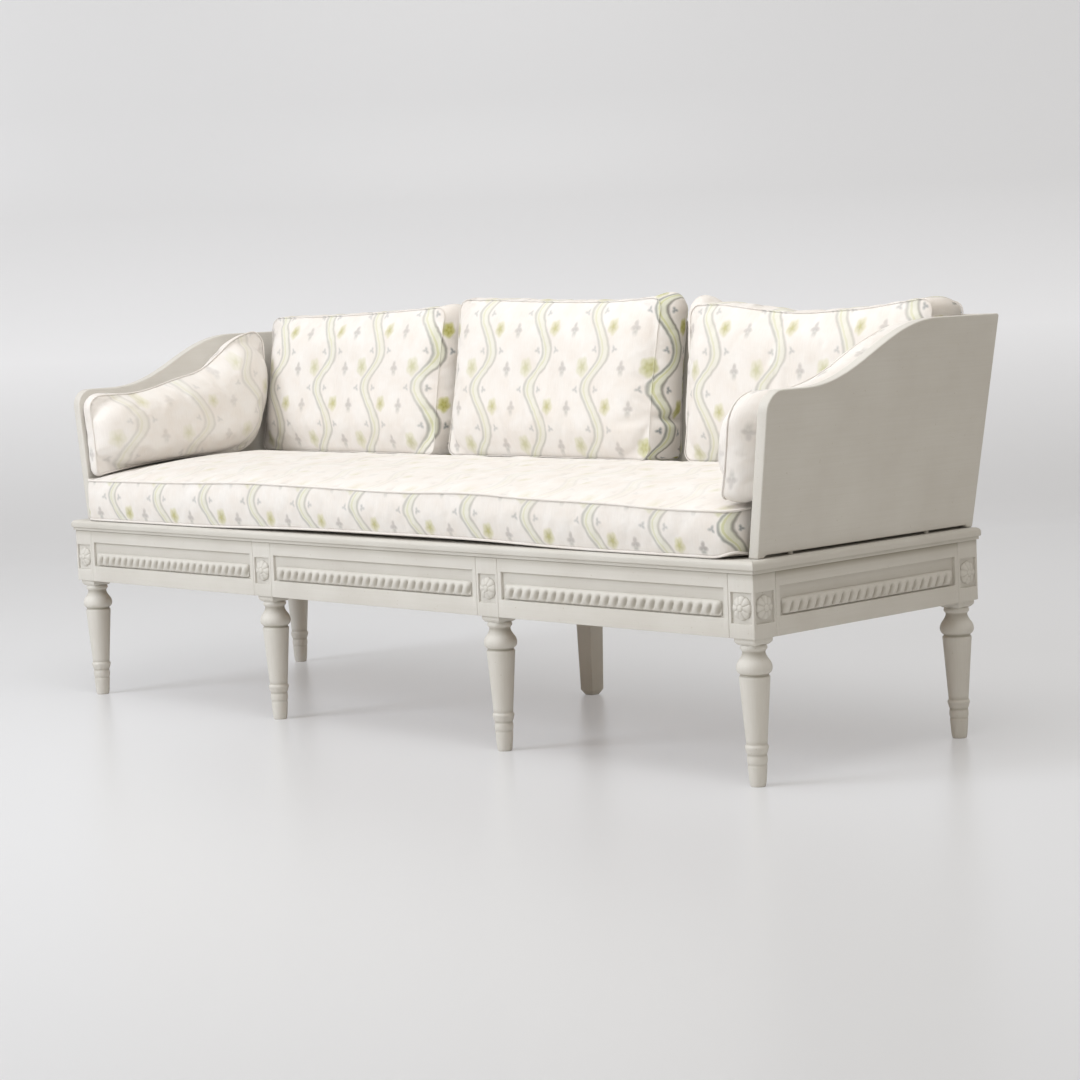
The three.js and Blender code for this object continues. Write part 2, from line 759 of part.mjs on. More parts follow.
// Outline of a side cushion in depth and height over the boards' foot: it lies on the seat cushion's
// crown and follows the end board's top, and its rear edge leans with the back cushions
function sideOutline() {
  const front = endFront + sideFrontInset;
  const low = endFrontHeight - sideTopInset;
  const high = endRearHeight - sideTopInset;
  const over = (y) => seatTopAt(y) + seatRest - boardFoot;
  const rearFoot = frontSeamAt(seatSeam) - sideFootGap;
  const rearTop = frontSeamAt(boardFoot + high) - sideTopGap;
  const along = (share) => THREE.MathUtils.lerp(front, rearFoot, share);
  const corner = sideCornerRadius;
  const foot = footShares.map((share) => new THREE.Vector2(along(share), over(along(share))));
  const path = new THREE.Path();
  path.moveTo(front, foot[0].y);
  path.splineThru(foot.slice(1));
  const middle = (over(rearFoot) + high) / 2;
  path.quadraticCurveTo((rearFoot + rearTop) / 2 - sideDrawDepth, middle, rearTop, high - corner);
  path.absarc(rearTop - corner, high - corner, corner, 0, Math.PI / 2, false);
  const sweepEnd = endFront + sweepStart + sweepLength;
  const sweepFrom = Math.min(sweepEnd, rearTop - corner);
  const level = endFront + sweepStart;
  path.bezierCurveTo(sweepFrom - sweepHandle, high, level + sweepHandle, low, level, low);
  path.lineTo(front + corner, low);
  path.absarc(front + corner, low - corner, corner, Math.PI / 2, Math.PI, false);
  path.quadraticCurveTo(front + 2 * sideDrawDepth, (low + foot[0].y) / 2, front, foot[0].y);
  return openPoints(path);
}

// Draws the inner face forward at the front end, as the cushion's stuffing does
function pulledForward(geometry, front, middle) {
  const places = geometry.attributes.position;
  for (let i = 0; i < places.count; i += 1) {
    const outerShare = THREE.MathUtils.clamp(places.getZ(i) / sideBoxing, 0, 1);
    const frontShare = THREE.MathUtils.clamp((middle - places.getX(i)) / (middle - front), 0, 1);
    places.setX(i, places.getX(i) - sidePull * outerShare * frontShare);
  }
  return geometry;
}

function sideCushion(name, side) {
  const outline = sideOutline();
  const box = new THREE.Box2().setFromPoints(outline);
  const middle = box.getCenter(new THREE.Vector2());
  const flat = cushionGeometry({
    outline,
    boxing: sideBoxing,
    crown: sideCrown,
    backCrown: sideOuterCrown,
    bulge: sideBulgeDepth,
    middle,
    spine: 0,
  });
  const upright = alongX(pulledForward(flat, box.min.x, middle.x));
  const mesh = named(name, slanted(upright, -leanSlope, 0), cloth());
  const outer = endInner - fit - sideOuterCrown;
  mesh.position.set(side * outer, 0, boardFoot);
  mesh.scale.x = -side;
  return mesh;
}

const settee = new THREE.Group();
settee.add(...legsWithRosettes(), ...rails(), ...mouldings(), ...seatDeck(), ...innerFrame());
settee.add(...endsAndBack(), seatCushion(), ...backCushions());
settee.add(sideCushion("side_cushion_left", -1), sideCushion("side_cushion_right", 1));

// The origin is the bottom centre of the whole settee's box
const extent = new THREE.Box3().setFromObject(settee, true);
const centre = extent.getCenter(new THREE.Vector3());
settee.position.set(-centre.x, -centre.y, -extent.min.z);

const part = new THREE.Group();
part.add(settee);
export default part;
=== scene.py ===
# %% [markdown]
# # A painted settee
# The settee is a painted wooden frame with carved rails and turned legs, and six loose cushions in
# a printed cloth. The frame of solids gives every piece its place and size; the cells below give
# each piece its fine shape and its finish. Sizes are in millimetres until a mesh is made.

# %% Start
import math

import bmesh
import bpy
import numpy as np
from mathutils import Matrix, Vector


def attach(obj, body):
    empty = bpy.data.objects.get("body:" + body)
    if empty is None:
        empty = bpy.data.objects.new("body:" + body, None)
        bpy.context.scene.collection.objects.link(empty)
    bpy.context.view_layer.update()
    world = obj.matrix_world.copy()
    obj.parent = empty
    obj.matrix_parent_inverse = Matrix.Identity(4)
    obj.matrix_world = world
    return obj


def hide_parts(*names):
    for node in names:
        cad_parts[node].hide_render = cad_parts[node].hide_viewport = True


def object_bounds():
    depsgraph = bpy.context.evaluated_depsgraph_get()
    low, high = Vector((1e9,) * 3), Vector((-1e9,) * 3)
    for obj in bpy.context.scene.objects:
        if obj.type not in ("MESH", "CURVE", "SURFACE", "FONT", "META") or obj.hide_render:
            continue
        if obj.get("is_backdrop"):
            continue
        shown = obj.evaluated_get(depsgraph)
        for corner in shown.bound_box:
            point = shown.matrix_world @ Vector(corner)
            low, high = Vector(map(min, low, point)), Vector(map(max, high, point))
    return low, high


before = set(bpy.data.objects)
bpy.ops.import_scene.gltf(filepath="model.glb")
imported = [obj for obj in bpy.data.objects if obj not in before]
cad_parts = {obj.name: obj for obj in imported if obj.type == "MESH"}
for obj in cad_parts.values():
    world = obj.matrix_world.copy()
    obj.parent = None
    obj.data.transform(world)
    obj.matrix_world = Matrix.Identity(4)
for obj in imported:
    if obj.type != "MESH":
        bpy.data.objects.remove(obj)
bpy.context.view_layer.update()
MM = 0.001
MIDDLE_Y = -15.0  # the middle of the wooden frame's depth, seen from the row's origin

# %% [markdown]
# ## The camera
# A long lens from a low stand, a little off level, gives the photograph its flat, calm view.
# The place and the tilt were worked out from the vanishing points of the frame's edges. A camera
# could also be aimed with a constraint, but a written matrix keeps the roll as well.

# %% Camera
EYE = Vector((3986, -3705, 877)) * MM
TARGET = Vector((174.8, -28.1, 366.3)) * MM
ROLL = math.radians(-2.333)
FOCAL_SHARE = 2.4776  # focal length as a share of the picture's width

ahead = (TARGET - EYE).normalized()
level = ahead.cross(Vector((0, 0, 1))).normalized()
upward = level.cross(ahead)
right = math.cos(ROLL) * level + math.sin(ROLL) * upward
up = math.cos(ROLL) * upward - math.sin(ROLL) * level
camera_data = bpy.data.cameras.new("camera")
camera_data.sensor_width = 36
camera_data.lens = 36 * FOCAL_SHARE
camera_data.clip_end = 60
camera = bpy.data.objects.new("camera", camera_data)
turn = Matrix((right, up, -ahead)).transposed().to_4x4()
camera.matrix_world = Matrix.Translation(EYE) @ turn
bpy.context.scene.collection.objects.link(camera)
bpy.context.scene.camera = camera
print("camera", tuple(round(v, 3) for v in EYE), "lens", round(camera_data.lens, 1))

# %% [markdown]
# ## Helpers
# Colours are written as they look on a screen, in sRGB hex, and turned to the linear values that
# the renderer works with. Small functions add the shader nodes, and one makes a mesh from arrays.


# %% Helpers
def linear(text):
    """Linear RGBA of an sRGB hex colour: c / 12.92 up to 0.04045, else ((c + 0.055) / 1.055) to the 2.4."""
    channels = np.array([int(text[i:i + 2], 16) for i in (1, 3, 5)]) / 255
    low = channels / 12.92
    high = ((channels + 0.055) / 1.055) ** 2.4
    return (*np.where(channels <= 0.04045, low, high), 1.0)


def add(tree, kind, inputs=None, output=0, **settings):
    """Adds one node with its settings, fills or links its sockets, and returns one of its outputs."""
    node = tree.nodes.new("ShaderNode" + kind)
    for key, value in settings.items():
        setattr(node, key, value)
    for socket, value in (inputs or {}).items():
        if isinstance(value, bpy.types.NodeSocket):
            tree.links.new(value, node.inputs[socket])
        else:
            node.inputs[socket].default_value = value
    return node.outputs[output] if node.outputs else None


def maths(tree, operation, *values):
    """Adds a Math node that works on numbers or sockets."""
    return add(tree, "Math", dict(enumerate(values)), operation=operation)


def ranged(tree, value, *limits):
    """Adds a node that maps a value between two limits to the range between two others."""
    return add(tree, "MapRange", {"Value": value, **dict(enumerate(limits, 1))})


def mixed(tree, share, first, second):
    """Adds a node that mixes a share of the second colour into the first."""
    return add(tree, "Mix", {0: share, 6: first, 7: second}, output=2, data_type="RGBA")


def cleared(owner):
    """The emptied node tree of a material or a world."""
    owner.use_nodes = True
    owner.node_tree.nodes.clear()
    return owner.node_tree


def unit(vectors):
    """Vectors in rows, brought to length 1."""
    return vectors / np.linalg.norm(vectors, axis=1, keepdims=True)


def grid_faces(rows, columns, closed):
    """Quads of a grid of points stored row by row; closed joins the last column to the first."""
    r = np.arange(rows - 1)[:, None]
    c = np.arange(columns if closed else columns - 1)[None, :]
    following = (c + 1) % columns
    corners = [r * columns + c, r * columns + following, (r + 1) * columns + following]
    corners.append((r + 1) * columns + c)
    return np.stack([np.broadcast_to(k, (rows - 1, c.shape[1])) for k in corners], -1).reshape(-1, 4)


def capped(rows, columns):
    """Faces of a closed tube of rings: its quads and one flat polygon at each end."""
    faces = grid_faces(rows, columns, True).tolist()
    last = (rows - 1) * columns
    return faces + [list(range(columns)), list(range(last, last + columns))]


def turned_about(points, turn):
    """Points turned about the upright axis through the frame's middle."""
    c, s = math.cos(turn), math.sin(turn)
    return points @ np.array([(c, s, 0), (-s, c, 0), (0, 0, 1)])


def welded(mesh, gap):
    """Joins points nearer than a gap in metres, turns the faces outward and shades them smooth."""
    shell = bmesh.new()
    shell.from_mesh(mesh)
    bmesh.ops.remove_doubles(shell, verts=shell.verts, dist=gap)
    bmesh.ops.recalc_face_normals(shell, faces=shell.faces)
    shell.to_mesh(mesh)
    shell.free()
    mesh.shade_smooth()


def placed(name, mesh, finish):
    """An object of the mesh in the scene, with one material."""
    piece = bpy.data.objects.new(name, mesh)
    bpy.context.scene.collection.objects.link(piece)
    mesh.materials.append(finish)
    return piece


def make_piece(name, points, faces, body, nodes, finish, carved=None, angle=32):
    """A mesh from points in millimetres about the frame's middle, riding on a body in place of nodes."""
    places = np.asarray(points, float).reshape(-1, 3).copy()
    places[:, 1] += MIDDLE_Y
    mesh = bpy.data.meshes.new(name)
    mesh.from_pydata((places * MM).tolist(), [], faces)
    if carved is not None:
        depth = mesh.attributes.new("carved", "FLOAT", "POINT")
        depth.data.foreach_set("value", np.asarray(carved, np.float32).ravel())
    welded(mesh, 1e-6)
    mesh.set_sharp_from_angle(angle=math.radians(angle))
    piece = placed(name, mesh, finish)
    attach(piece, body)
    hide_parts(*nodes)
    return piece


# %% [markdown]
# ## Paint on wood
# The frame is pine under a matt linseed-oil paint in a warm grey. Brushed paint is never one flat
# colour: it is a little thinner along the brush strokes, a little dirty in the hollows of the
# carving, and dull rather than shiny. Painted shade also darkens those hollows and the rails and
# posts under the moulding. The strokes run along each piece, so the material is made
# once for each direction, with noise drawn out along that axis.

# %% Painted wood
def painted_wood(name, stretch):
    """Matt oil paint on pine; stretch is the noise scale per metre along X, Y and Z."""
    material = bpy.data.materials.new(name)
    tree = cleared(material)
    place = add(tree, "TexCoord", output="Object")
    # Strokes are about 3 mm wide and 150 mm long
    drawn = add(tree, "Mapping", {"Vector": place, "Scale": stretch})
    strokes = add(tree, "TexNoise", {"Vector": drawn, "Scale": 1.0, "Detail": 4.0, "Roughness": 0.6})
    # Cloudy patches about 120 mm across, from uneven coats
    patches = add(tree, "TexNoise", {"Vector": place, "Scale": 8.0, "Detail": 3.0, "Roughness": 0.55})
    tone = add(tree, "ValToRGB", {"Fac": patches})
    ramp = tone.node.color_ramp
    ramp.elements[0].position, ramp.elements[0].color = 0.30, linear("#D1CEC8")
    ramp.elements[1].position, ramp.elements[1].color = 0.72, linear("#D8D6D1")
    streak = ranged(tree, strokes, 0.35, 0.75, 0.0, 0.15)
    brushed = mixed(tree, streak, tone, linear("#BDB8AA"))
    # Painted shade, with some old wax and dust, darkens the hollows of the carving, the rope's gouges and the
    # rails and posts under the moulding
    painted_shade_amount = add(tree, "Attribute", output="Fac", attribute_name="carved")
    shade_and_dust_share = ranged(tree, painted_shade_amount, 0.0, 2.0, 0.0, 1.0)
    shaded_and_dusty = mixed(tree, shade_and_dust_share, brushed, linear("#9A9486"))
    # Chips and specks a few millimetres across show the primer
    specks = add(tree, "TexNoise", {"Vector": place, "Scale": 160.0, "Detail": 2.0, "Roughness": 0.6})
    chip = ranged(tree, specks, 0.70, 0.76, 0.0, 0.5)
    colour = mixed(tree, chip, shaded_and_dusty, linear("#B5AD9C"))
    rough = ranged(tree, patches, 0.3, 0.7, 0.48, 0.62)
    bump = add(tree, "Bump", {"Strength": 0.25, "Distance": 0.0006, "Height": strokes})
    shader = add(tree, "BsdfPrincipled", {"Base Color": colour, "Roughness": rough, "IOR": 1.48,
                                          "Normal": bump})
    add(tree, "OutputMaterial", {"Surface": shader})
    return material


paint_along_x = painted_wood("oil_paint_along_x", (7.0, 300.0, 300.0))
paint_along_y = painted_wood("oil_paint_along_y", (300.0, 7.0, 300.0))
paint_upright = painted_wood("oil_paint_upright", (300.0, 300.0, 7.0))

# %% [markdown]
# ## Bare pine
# The boards and strips under the seat were never painted. Sawn pine is pale, with darker late-wood
# lines that run along the board and wander a little. A wave texture bent by noise gives them.


# %% Bare wood
def bare_pine(name, stretch):
    """Sawn pine: wave bands about 9 mm apart, drawn out along the board and bent by noise."""
    material = bpy.data.materials.new(name)
    tree = cleared(material)
    place = add(tree, "TexCoord", output="Object")
    drawn = add(tree, "Mapping", {"Vector": place, "Scale": stretch})
    rings = add(tree, "TexWave", {"Vector": drawn, "Scale": 5.0, "Distortion": 6.0, "Detail": 3.0,
                                  "Detail Scale": 1.2}, bands_direction="DIAGONAL")
    tone = add(tree, "ValToRGB", {"Fac": rings})
    ramp = tone.node.color_ramp
    ramp.elements[0].color = linear("#C9AC83")
    ramp.elements[1].color = linear("#AB8758")
    fibre = add(tree, "TexNoise", {"Vector": drawn, "Scale": 60.0, "Detail": 3.0})
    bump = add(tree, "Bump", {"Strength": 0.4, "Distance": 0.0005, "Height": fibre})
    shader = add(tree, "BsdfPrincipled", {"Base Color": tone, "Roughness": 0.8, "Normal": bump})
    add(tree, "OutputMaterial", {"Surface": shader})
    return material


pine_along_x = bare_pine("sawn_pine_along_x", (0.8, 8.0, 8.0))
pine_along_y = bare_pine("sawn_pine_along_y", (8.0, 0.8, 8.0))
for node_name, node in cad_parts.items():
    if node_name.startswith(("seat_board", "cross_rail")):
        finish = pine_along_y
    elif node_name.startswith(("ledger", "corner_block")):
        finish = pine_along_x
    else:
        finish = paint_along_x
    if not node.material_slots:
        node.data.materials.append(None)
    for place in node.material_slots:
        place.material = finish

# %% [markdown]
# ## Legs
# A turned leg starts as a square post. The lathe rounds its lower part and leaves the head square,
# so a leg is one surface: rings of points stacked along the height, round below and square above.
# A ring point lies in the same direction in both, so the change needs no joining. Each outer face
# of the head has a shallow tablet cut into it for the rosette.

# %% Frame sizes
HALF_LENGTH, HALF_DEPTH = 1000.0, 313.5  # of the wooden frame, over its posts
LEG_HEIGHT, RAIL_TOP = 258.0, 370.0
POST_HALF = 29.0
FIT = 0.3  # gap between two pieces that lie on each other
MIDDLE_LEG_X = 338.0
LEG_X, LEG_Y = HALF_LENGTH - POST_HALF, HALF_DEPTH - POST_HALF
OPENING_X, OPENING_Y = LEG_X - POST_HALF - FIT, LEG_Y - POST_HALF - FIT  # ends of the rails
print("frame", 2 * HALF_LENGTH, "by", 2 * HALF_DEPTH, "mm, rails from", LEG_HEIGHT, "to", RAIL_TOP)

# %% Leg sizes
TURNED_TOP = 246.0
BLOCK_HALF = 24.0
TABLET_MIDDLE = 311.0
TABLET_HALF_WIDTH, TABLET_HALF_HEIGHT, TABLET_DEPTH = 23.0, 27.0, 4.0
TABLET_SHADE = 0.12
UNDER_MOULDING_SHADE_START = 358.0  # height above which painted shade darkens the posts and rails under the moulding
turning = np.array([  # radius and height of the turned part
    (12.4, 0), (13.8, 2), (15.0, 10), (16.6, 30), (17.0, 36.5), (15.4, 38.2), (17.2, 40), (17.9, 46),
    (17.6, 53), (16.0, 55), (17.8, 57), (19.4, 63), (20.6, 67), (20.8, 69.5), (19.8, 71.5), (18.0, 72.8),
    (18.6, 77), (27.0, 189), (27.2, 191), (25.0, 192.6), (23.4, 193.8), (24.6, 195), (28.4, 197.5),
    (30.8, 201.5), (31.5, 206), (30.9, 211), (28.6, 216.5), (25.2, 221), (22.6, 225), (20.6, 229),
    (19.7, 233), (20.6, 236), (23.2, 238), (23.9, 240.5), (23.2, 243), (21.8, 244.5), (21.8, TURNED_TOP)])


# %% Legs
def smoothed(values, width):
    """Running mean over an odd number of neighbours, with the ends held."""
    padded = np.pad(values, width // 2, mode="edge")
    return np.convolve(padded, np.ones(width) / width, mode="valid")


def square_ring(half, corner, along):
    """Points of a square of a half width with round corners; along runs from -1 to 1 on each side.
    A point of the sharp square is pulled to a circle of the corner's radius about the inner square."""
    flat = np.stack([np.full_like(along, half), along * half], -1)
    core = np.clip(flat, -(half - corner), half - corner)
    away = flat - core
    side = core + corner * away / np.maximum(np.linalg.norm(away, axis=-1, keepdims=True), 1e-9)
    quarter = np.array([[0, 1], [-1, 0]])
    return np.concatenate([side @ np.linalg.matrix_power(quarter, k) for k in range(4)])


ALONG = np.concatenate([[-1, -0.985, -0.95, -0.815], np.linspace(-0.79, 0.79, 13), [0.815, 0.95, 0.985]])
SIDES = {"right": 0, "rear": 1, "left": 2, "front": 3}


def turned_leg(name, x, y, faces_with_tablet):
    """One leg: rings of the turning, then of the block and the post, with the tablets pressed in."""
    heights = np.arange(0, TURNED_TOP + 0.01, 1.25)
    radii = smoothed(np.interp(heights, turning[:, 1], turning[:, 0]), 3)
    # Painted shade in the turned hollows, darker where they are deeper
    hollows = np.clip((smoothed(radii, 15) - radii) / 1.5, 0, 1.3)
    direction = unit(square_ring(1.0, 0.0001, ALONG))
    turned = radii[:, None, None] * direction
    square_rows = np.array([  # half width, corner radius, height
        (19.0, 2.0, TURNED_TOP), (20.4, 2.0, 247.0), (23.4, 2.0, 250.6), (BLOCK_HALF, 2.0, 252.0),
        (BLOCK_HALF, 2.0, LEG_HEIGHT), (27.6, 2.0, LEG_HEIGHT), (28.6, 1.6, 258.4),
        *[(POST_HALF, 1.4, height) for height in (259.4, 283.6, 284.5, 294.5, TABLET_MIDDLE, 327.5, 337.5,
                                                  338.4, UNDER_MOULDING_SHADE_START, 365.0, 369.0)],
        (28.4, 1.4, RAIL_TOP)])
    square = np.stack([square_ring(half, corner, ALONG) for half, corner, _ in square_rows])
    tall = np.abs(square_rows[:, 2] - TABLET_MIDDLE) < TABLET_HALF_HEIGHT
    wide = np.abs(ALONG * POST_HALF) < TABLET_HALF_WIDTH
    # Painted shade on the post under the moulding, and in the tablets
    shade = np.repeat(np.clip((square_rows[:, 2:] - UNDER_MOULDING_SHADE_START) / 12, 0, 1), square.shape[1], 1)
    columns = len(ALONG)
    for face in faces_with_tablet:
        side = SIDES[face]
        outward = np.array([(1, 0), (0, 1), (-1, 0), (0, -1)][side])
        part = slice(side * columns, (side + 1) * columns)
        pressed = tall[:, None] * wide[None, :]
        square[:, part] -= TABLET_DEPTH * pressed[..., None] * outward
        shade[:, part] += TABLET_SHADE * pressed
    outlines = np.concatenate([turned, square])
    levels = np.concatenate([heights, square_rows[:, 2]])
    points = np.concatenate([outlines, np.broadcast_to(levels[:, None, None], (*outlines.shape[:2], 1))], 2)
    points += (x, y, 0)
    carved = np.concatenate([np.repeat(hollows[:, None], outlines.shape[1], 1), shade])
    return make_piece(name, points, capped(*outlines.shape[:2]), "frame", [name.replace("fine_", "")],
                      paint_upright, carved)


leg_places = {
    "front_left": (-LEG_X, -LEG_Y, ["front", "left"]),
    "front_middle_left": (-MIDDLE_LEG_X, -LEG_Y, ["front"]),
    "front_middle_right": (MIDDLE_LEG_X, -LEG_Y, ["front"]),
    "front_right": (LEG_X, -LEG_Y, ["front", "right"]),
    "rear_left": (-LEG_X, LEG_Y, ["left"]),
    "rear_right": (LEG_X, LEG_Y, ["right"]),
}
for place_name, (x, y, faces) in leg_places.items():
    leg = turned_leg(f"fine_leg_{place_name}", x, y, faces)
print("leg faces", len(leg.data.polygons))

# %% [markdown]
# ## The plain rear leg
# The middle of the back stands on a plain square leg that tapers to the floor, with its edges cut
# away at the sole. It is the same kind of stack of rings, all of them square.

# %% Rear leg
REAR_POST_HALF = 22.0
rear_rows = np.array([  # half width, corner radius, height
    (10.6, 2.0, 0.0), (16.9, 2.0, 10.3), (17.5, 2.0, 11.6), (19.8, 2.0, 130.0),
    (REAR_POST_HALF, 1.6, LEG_HEIGHT), (REAR_POST_HALF, 1.6, 369.2), (21.4, 1.6, RAIL_TOP)])
rear_rings = np.stack([square_ring(half, corner, ALONG) for half, corner, _ in rear_rows])
rear_levels = np.broadcast_to(rear_rows[:, 2, None, None], (*rear_rings.shape[:2], 1))
rear_points = np.concatenate([rear_rings, rear_levels], 2) + (0, HALF_DEPTH - REAR_POST_HALF, 0)
rear_leg = make_piece("fine_leg_rear_middle", rear_points, capped(*rear_rings.shape[:2]), "frame",
                      ["leg_rear_middle"], paint_upright)
print("rear leg faces", len(rear_leg.data.polygons))

# %% [markdown]
# ## Rosettes
# Each post carries a round carved flower: a low dome of petals round a button. A carver cuts the
# petals from a disc, so the shape is a height over a disc. It could be sculpted; a formula in the
# polar coordinates of the disc gives the same petals on every rosette.


# %% Rosettes
def rosette(name, x, y, turn):
    """Height = a dome less a valley between two petals less a ring groove plus a button in the middle."""
    radius = 21.0
    share, around = np.meshgrid(np.linspace(0.02, 1, 26), np.linspace(0, 2 * np.pi, 96, endpoint=False),
                                indexing="ij")
    petal = np.abs(np.cos(4 * around)) ** 0.55
    middle = np.clip((share - 0.26) / 0.12, 0, 1)
    valley = (1 - petal) * middle
    groove = np.exp(-((share * radius - 6.3) / 1.0) ** 2)
    button = np.sqrt(np.clip(1 - (share * radius / 5.4) ** 2, 0, 1))
    height = 3.0 + 4.9 * (1 - share ** 2.4) - 1.3 * valley - 1.0 * groove + 1.2 * button
    height -= 1.6 * np.clip((share - 0.9) / 0.1, 0, 1) ** 2
    reach = share * radius * (1 - 0.05 * valley)
    front = np.stack([reach * np.cos(around), -height, reach * np.sin(around)], -1)
    back = front[-1:] * (1, 0, 1)
    flat = np.concatenate([front, back])
    # Painted shade in the valleys between the petals, in the ring round the button and at the foot against
    # the tablet
    carved = np.concatenate([np.clip(0.4 * valley + 0.4 * groove, 0, 1), 0.5 * np.ones((1, around.shape[1]))])
    flat += (0, TABLET_DEPTH - FIT - POST_HALF, TABLET_MIDDLE)
    points = turned_about(flat, turn) + (x, y, 0)
    return make_piece(f"fine_{name}", points, capped(*flat.shape[:2]), "frame", [name], paint_upright, carved)


TURNS = {"front": 0.0, "right": math.pi / 2, "left": -math.pi / 2}
for place_name, (x, y, faces) in leg_places.items():
    for face in faces:
        word = "front" if face == "front" else "end"
        flower = rosette(f"rosette_{place_name}_{word}", x, y, TURNS[face])
print("rosette faces", len(flower.data.polygons))

# %% [markdown]
# ## Carved rails
# A rail is a board with a long sunk panel. Its section is the same all along, but for the panel,
# which starts and stops a little before the ends. So a section is carried along the rail, and each
# of its points moves between a plain place and a sunk one. Painted shade lies along the panel's
# edges and on the rail's face under the moulding, and reads as soft dark lines.

# %% Rails
RAIL_THICKNESS, RECESS_DEPTH = 28.0, 5.0
plain_section = np.array([  # distance behind the front face, height
    (27.2, LEG_HEIGHT), (1.2, LEG_HEIGHT), (0.3, 258.4), (0, 259.4), (0, 291.2), (0, 291.8), (0, 292.3),
    (0, 294.0), (0, 336.0), (0, 342.0), (0, 343.4), (0, 344.2), (0, 344.8), (0, UNDER_MOULDING_SHADE_START), (0, 365.0),
    (0, 368.8), (0.3, 369.7), (1.2, RAIL_TOP), (27.2, RAIL_TOP), (RAIL_THICKNESS, 369.2),
    (RAIL_THICKNESS, 258.8)])
sunk_depths = np.array([0, 0, 0, 0, 0, 0.6, 4.6, 5.0, 5.0, 5.0, 4.6, 0.6, 0, 0, 0, 0, 0, 0, 0, 0, 0])
sunk_shade = np.array([0, 0, 0, 0, 0, 0.2, 0.6, 0.7, 0.2, 0.4, 0.3, 0, 0, 0, 0, 0, 0, 0, 0, 0, 0])


def carved_rail(name, start, end, face, turn, finish):
    """The section carried along X from start to end, sunk between 10 mm from each end."""
    stations = np.array([0, 0.7, 9.4, 10.4, 12.0])
    along = np.concatenate([start + stations, end - stations[::-1]])
    sunk = np.array([0, 0, 0, 1, 1, 1, 1, 0, 0, 0])
    slim = np.array([0.7, 0, 0, 0, 0, 0, 0, 0, 0, 0.7])
    depth = plain_section[None, :, 0] + sunk[:, None] * sunk_depths[None, :]
    eased = np.clip(depth, slim[:, None], RAIL_THICKNESS - slim[:, None])
    height = np.broadcast_to(plain_section[:, 1], depth.shape)
    points = np.stack([np.broadcast_to(along[:, None], depth.shape), eased - face, height], -1)
    shade_strength = 0.9 if turn == 0 else 1.7  # the shade under the moulding is painted darker on the ends, which lie in the overhang's shadow
    # Painted shade on the rail's face just under the moulding
    shade_under_moulding = shade_strength * np.clip((plain_section[:, 1] - 356) / 12, 0, 1) * (plain_section[:, 0] < 1)
    carved = sunk[:, None] * sunk_shade[None, :] + shade_under_moulding[None, :]
    return make_piece(f"fine_{name}", turned_about(points, turn), capped(*depth.shape), "frame", [name],
                      finish, carved)


inner_end, outer_end = MIDDLE_LEG_X - POST_HALF - FIT, MIDDLE_LEG_X + POST_HALF + FIT
carved_places = {  # start, end, distance of the face from the middle, turn, finish
    "front_left": (-OPENING_X, -outer_end, HALF_DEPTH, 0.0, paint_along_x),
    "front_middle": (-inner_end, inner_end, HALF_DEPTH, 0.0, paint_along_x),
    "front_right": (outer_end, OPENING_X, HALF_DEPTH, 0.0, paint_along_x),
    "end_left": (-OPENING_Y, OPENING_Y, HALF_LENGTH, -math.pi / 2, paint_along_y),
    "end_right": (-OPENING_Y, OPENING_Y, HALF_LENGTH, math.pi / 2, paint_along_y),
}
for place_name, place in carved_places.items():
    rail = carved_rail(f"rail_{place_name}", *place)
print("rail faces", len(rail.data.polygons))

# %% [markdown]
# ## Rope bands
# Low in each panel runs a half round carved like a rope: a row of slanting gouge cuts parts it into
# lobes, which join again above and below the cuts. A real carver sets the cuts at an even pitch. So
# the band is a half round whose height drops where a cut passes; no lobe is modelled by itself.

# %% Rope bands
ROPE_PITCH, ROPE_HALF, ROPE_DEPTH, ROPE_MIDDLE = 22.4, 14.0, 9.0, 308.0


def rope_band(name, start, end, face, turn, finish):
    """Relief = half round times (1 - cut), and a cut fades with the square of the distance from a
    slanting line and with the fourth power of the distance from a level just under the middle."""
    first, last = start + 18.0, end - 18.0
    count = int((last - first) / 0.95)
    along, round_angle = np.meshgrid(np.linspace(first, last, count), np.linspace(0, np.pi, 17),
                                     indexing="ij")
    level = -ROPE_HALF * np.cos(round_angle)
    cuts = round((last - first) / ROPE_PITCH)
    pitch = (last - first) / cuts
    phase = (along - first - 0.4 * level) / pitch
    distance = np.abs(phase - np.round(phase)) * pitch
    cut = np.exp(-(distance / 4.6) ** 2 - ((level + 3.0) / 9.0) ** 4)
    lobe = np.sqrt(np.clip(1 - (2 * (phase - np.floor(phase)) - 1) ** 2, 0, 1)) * 0.14 + 0.86
    into = np.clip((np.minimum(along - first, last - along) + 0.5) / 9.0, 0, 1)
    ending = np.sqrt(1 - (1 - into) ** 2)
    relief = ROPE_DEPTH * np.sin(round_angle) ** 0.7 * (1 - 0.72 * cut) * lobe * ending
    level = level * (0.72 + 0.28 * ending)
    points = np.stack([along, RECESS_DEPTH - FIT - relief - face, level + ROPE_MIDDLE], -1)
    # Painted shade in the gouge cuts and along the foot of the half round
    carved = np.clip(1.2 * cut + 0.2 * (1 - np.sin(round_angle)), 0, 1)
    return make_piece(f"fine_{name}", turned_about(points, turn), capped(*along.shape), "frame", [name],
                      finish, carved, angle=60)


for place_name, place in carved_places.items():
    band = rope_band(f"rope_{place_name}", *place)
print("rope faces", len(band.data.polygons))

# %% [markdown]
# ## Top moulding
# Four moulded strips lie on the frame and meet in mitres. A strip is its section carried along a
# line, and at a mitre each point of the section stops as far from the corner as it lies inward.

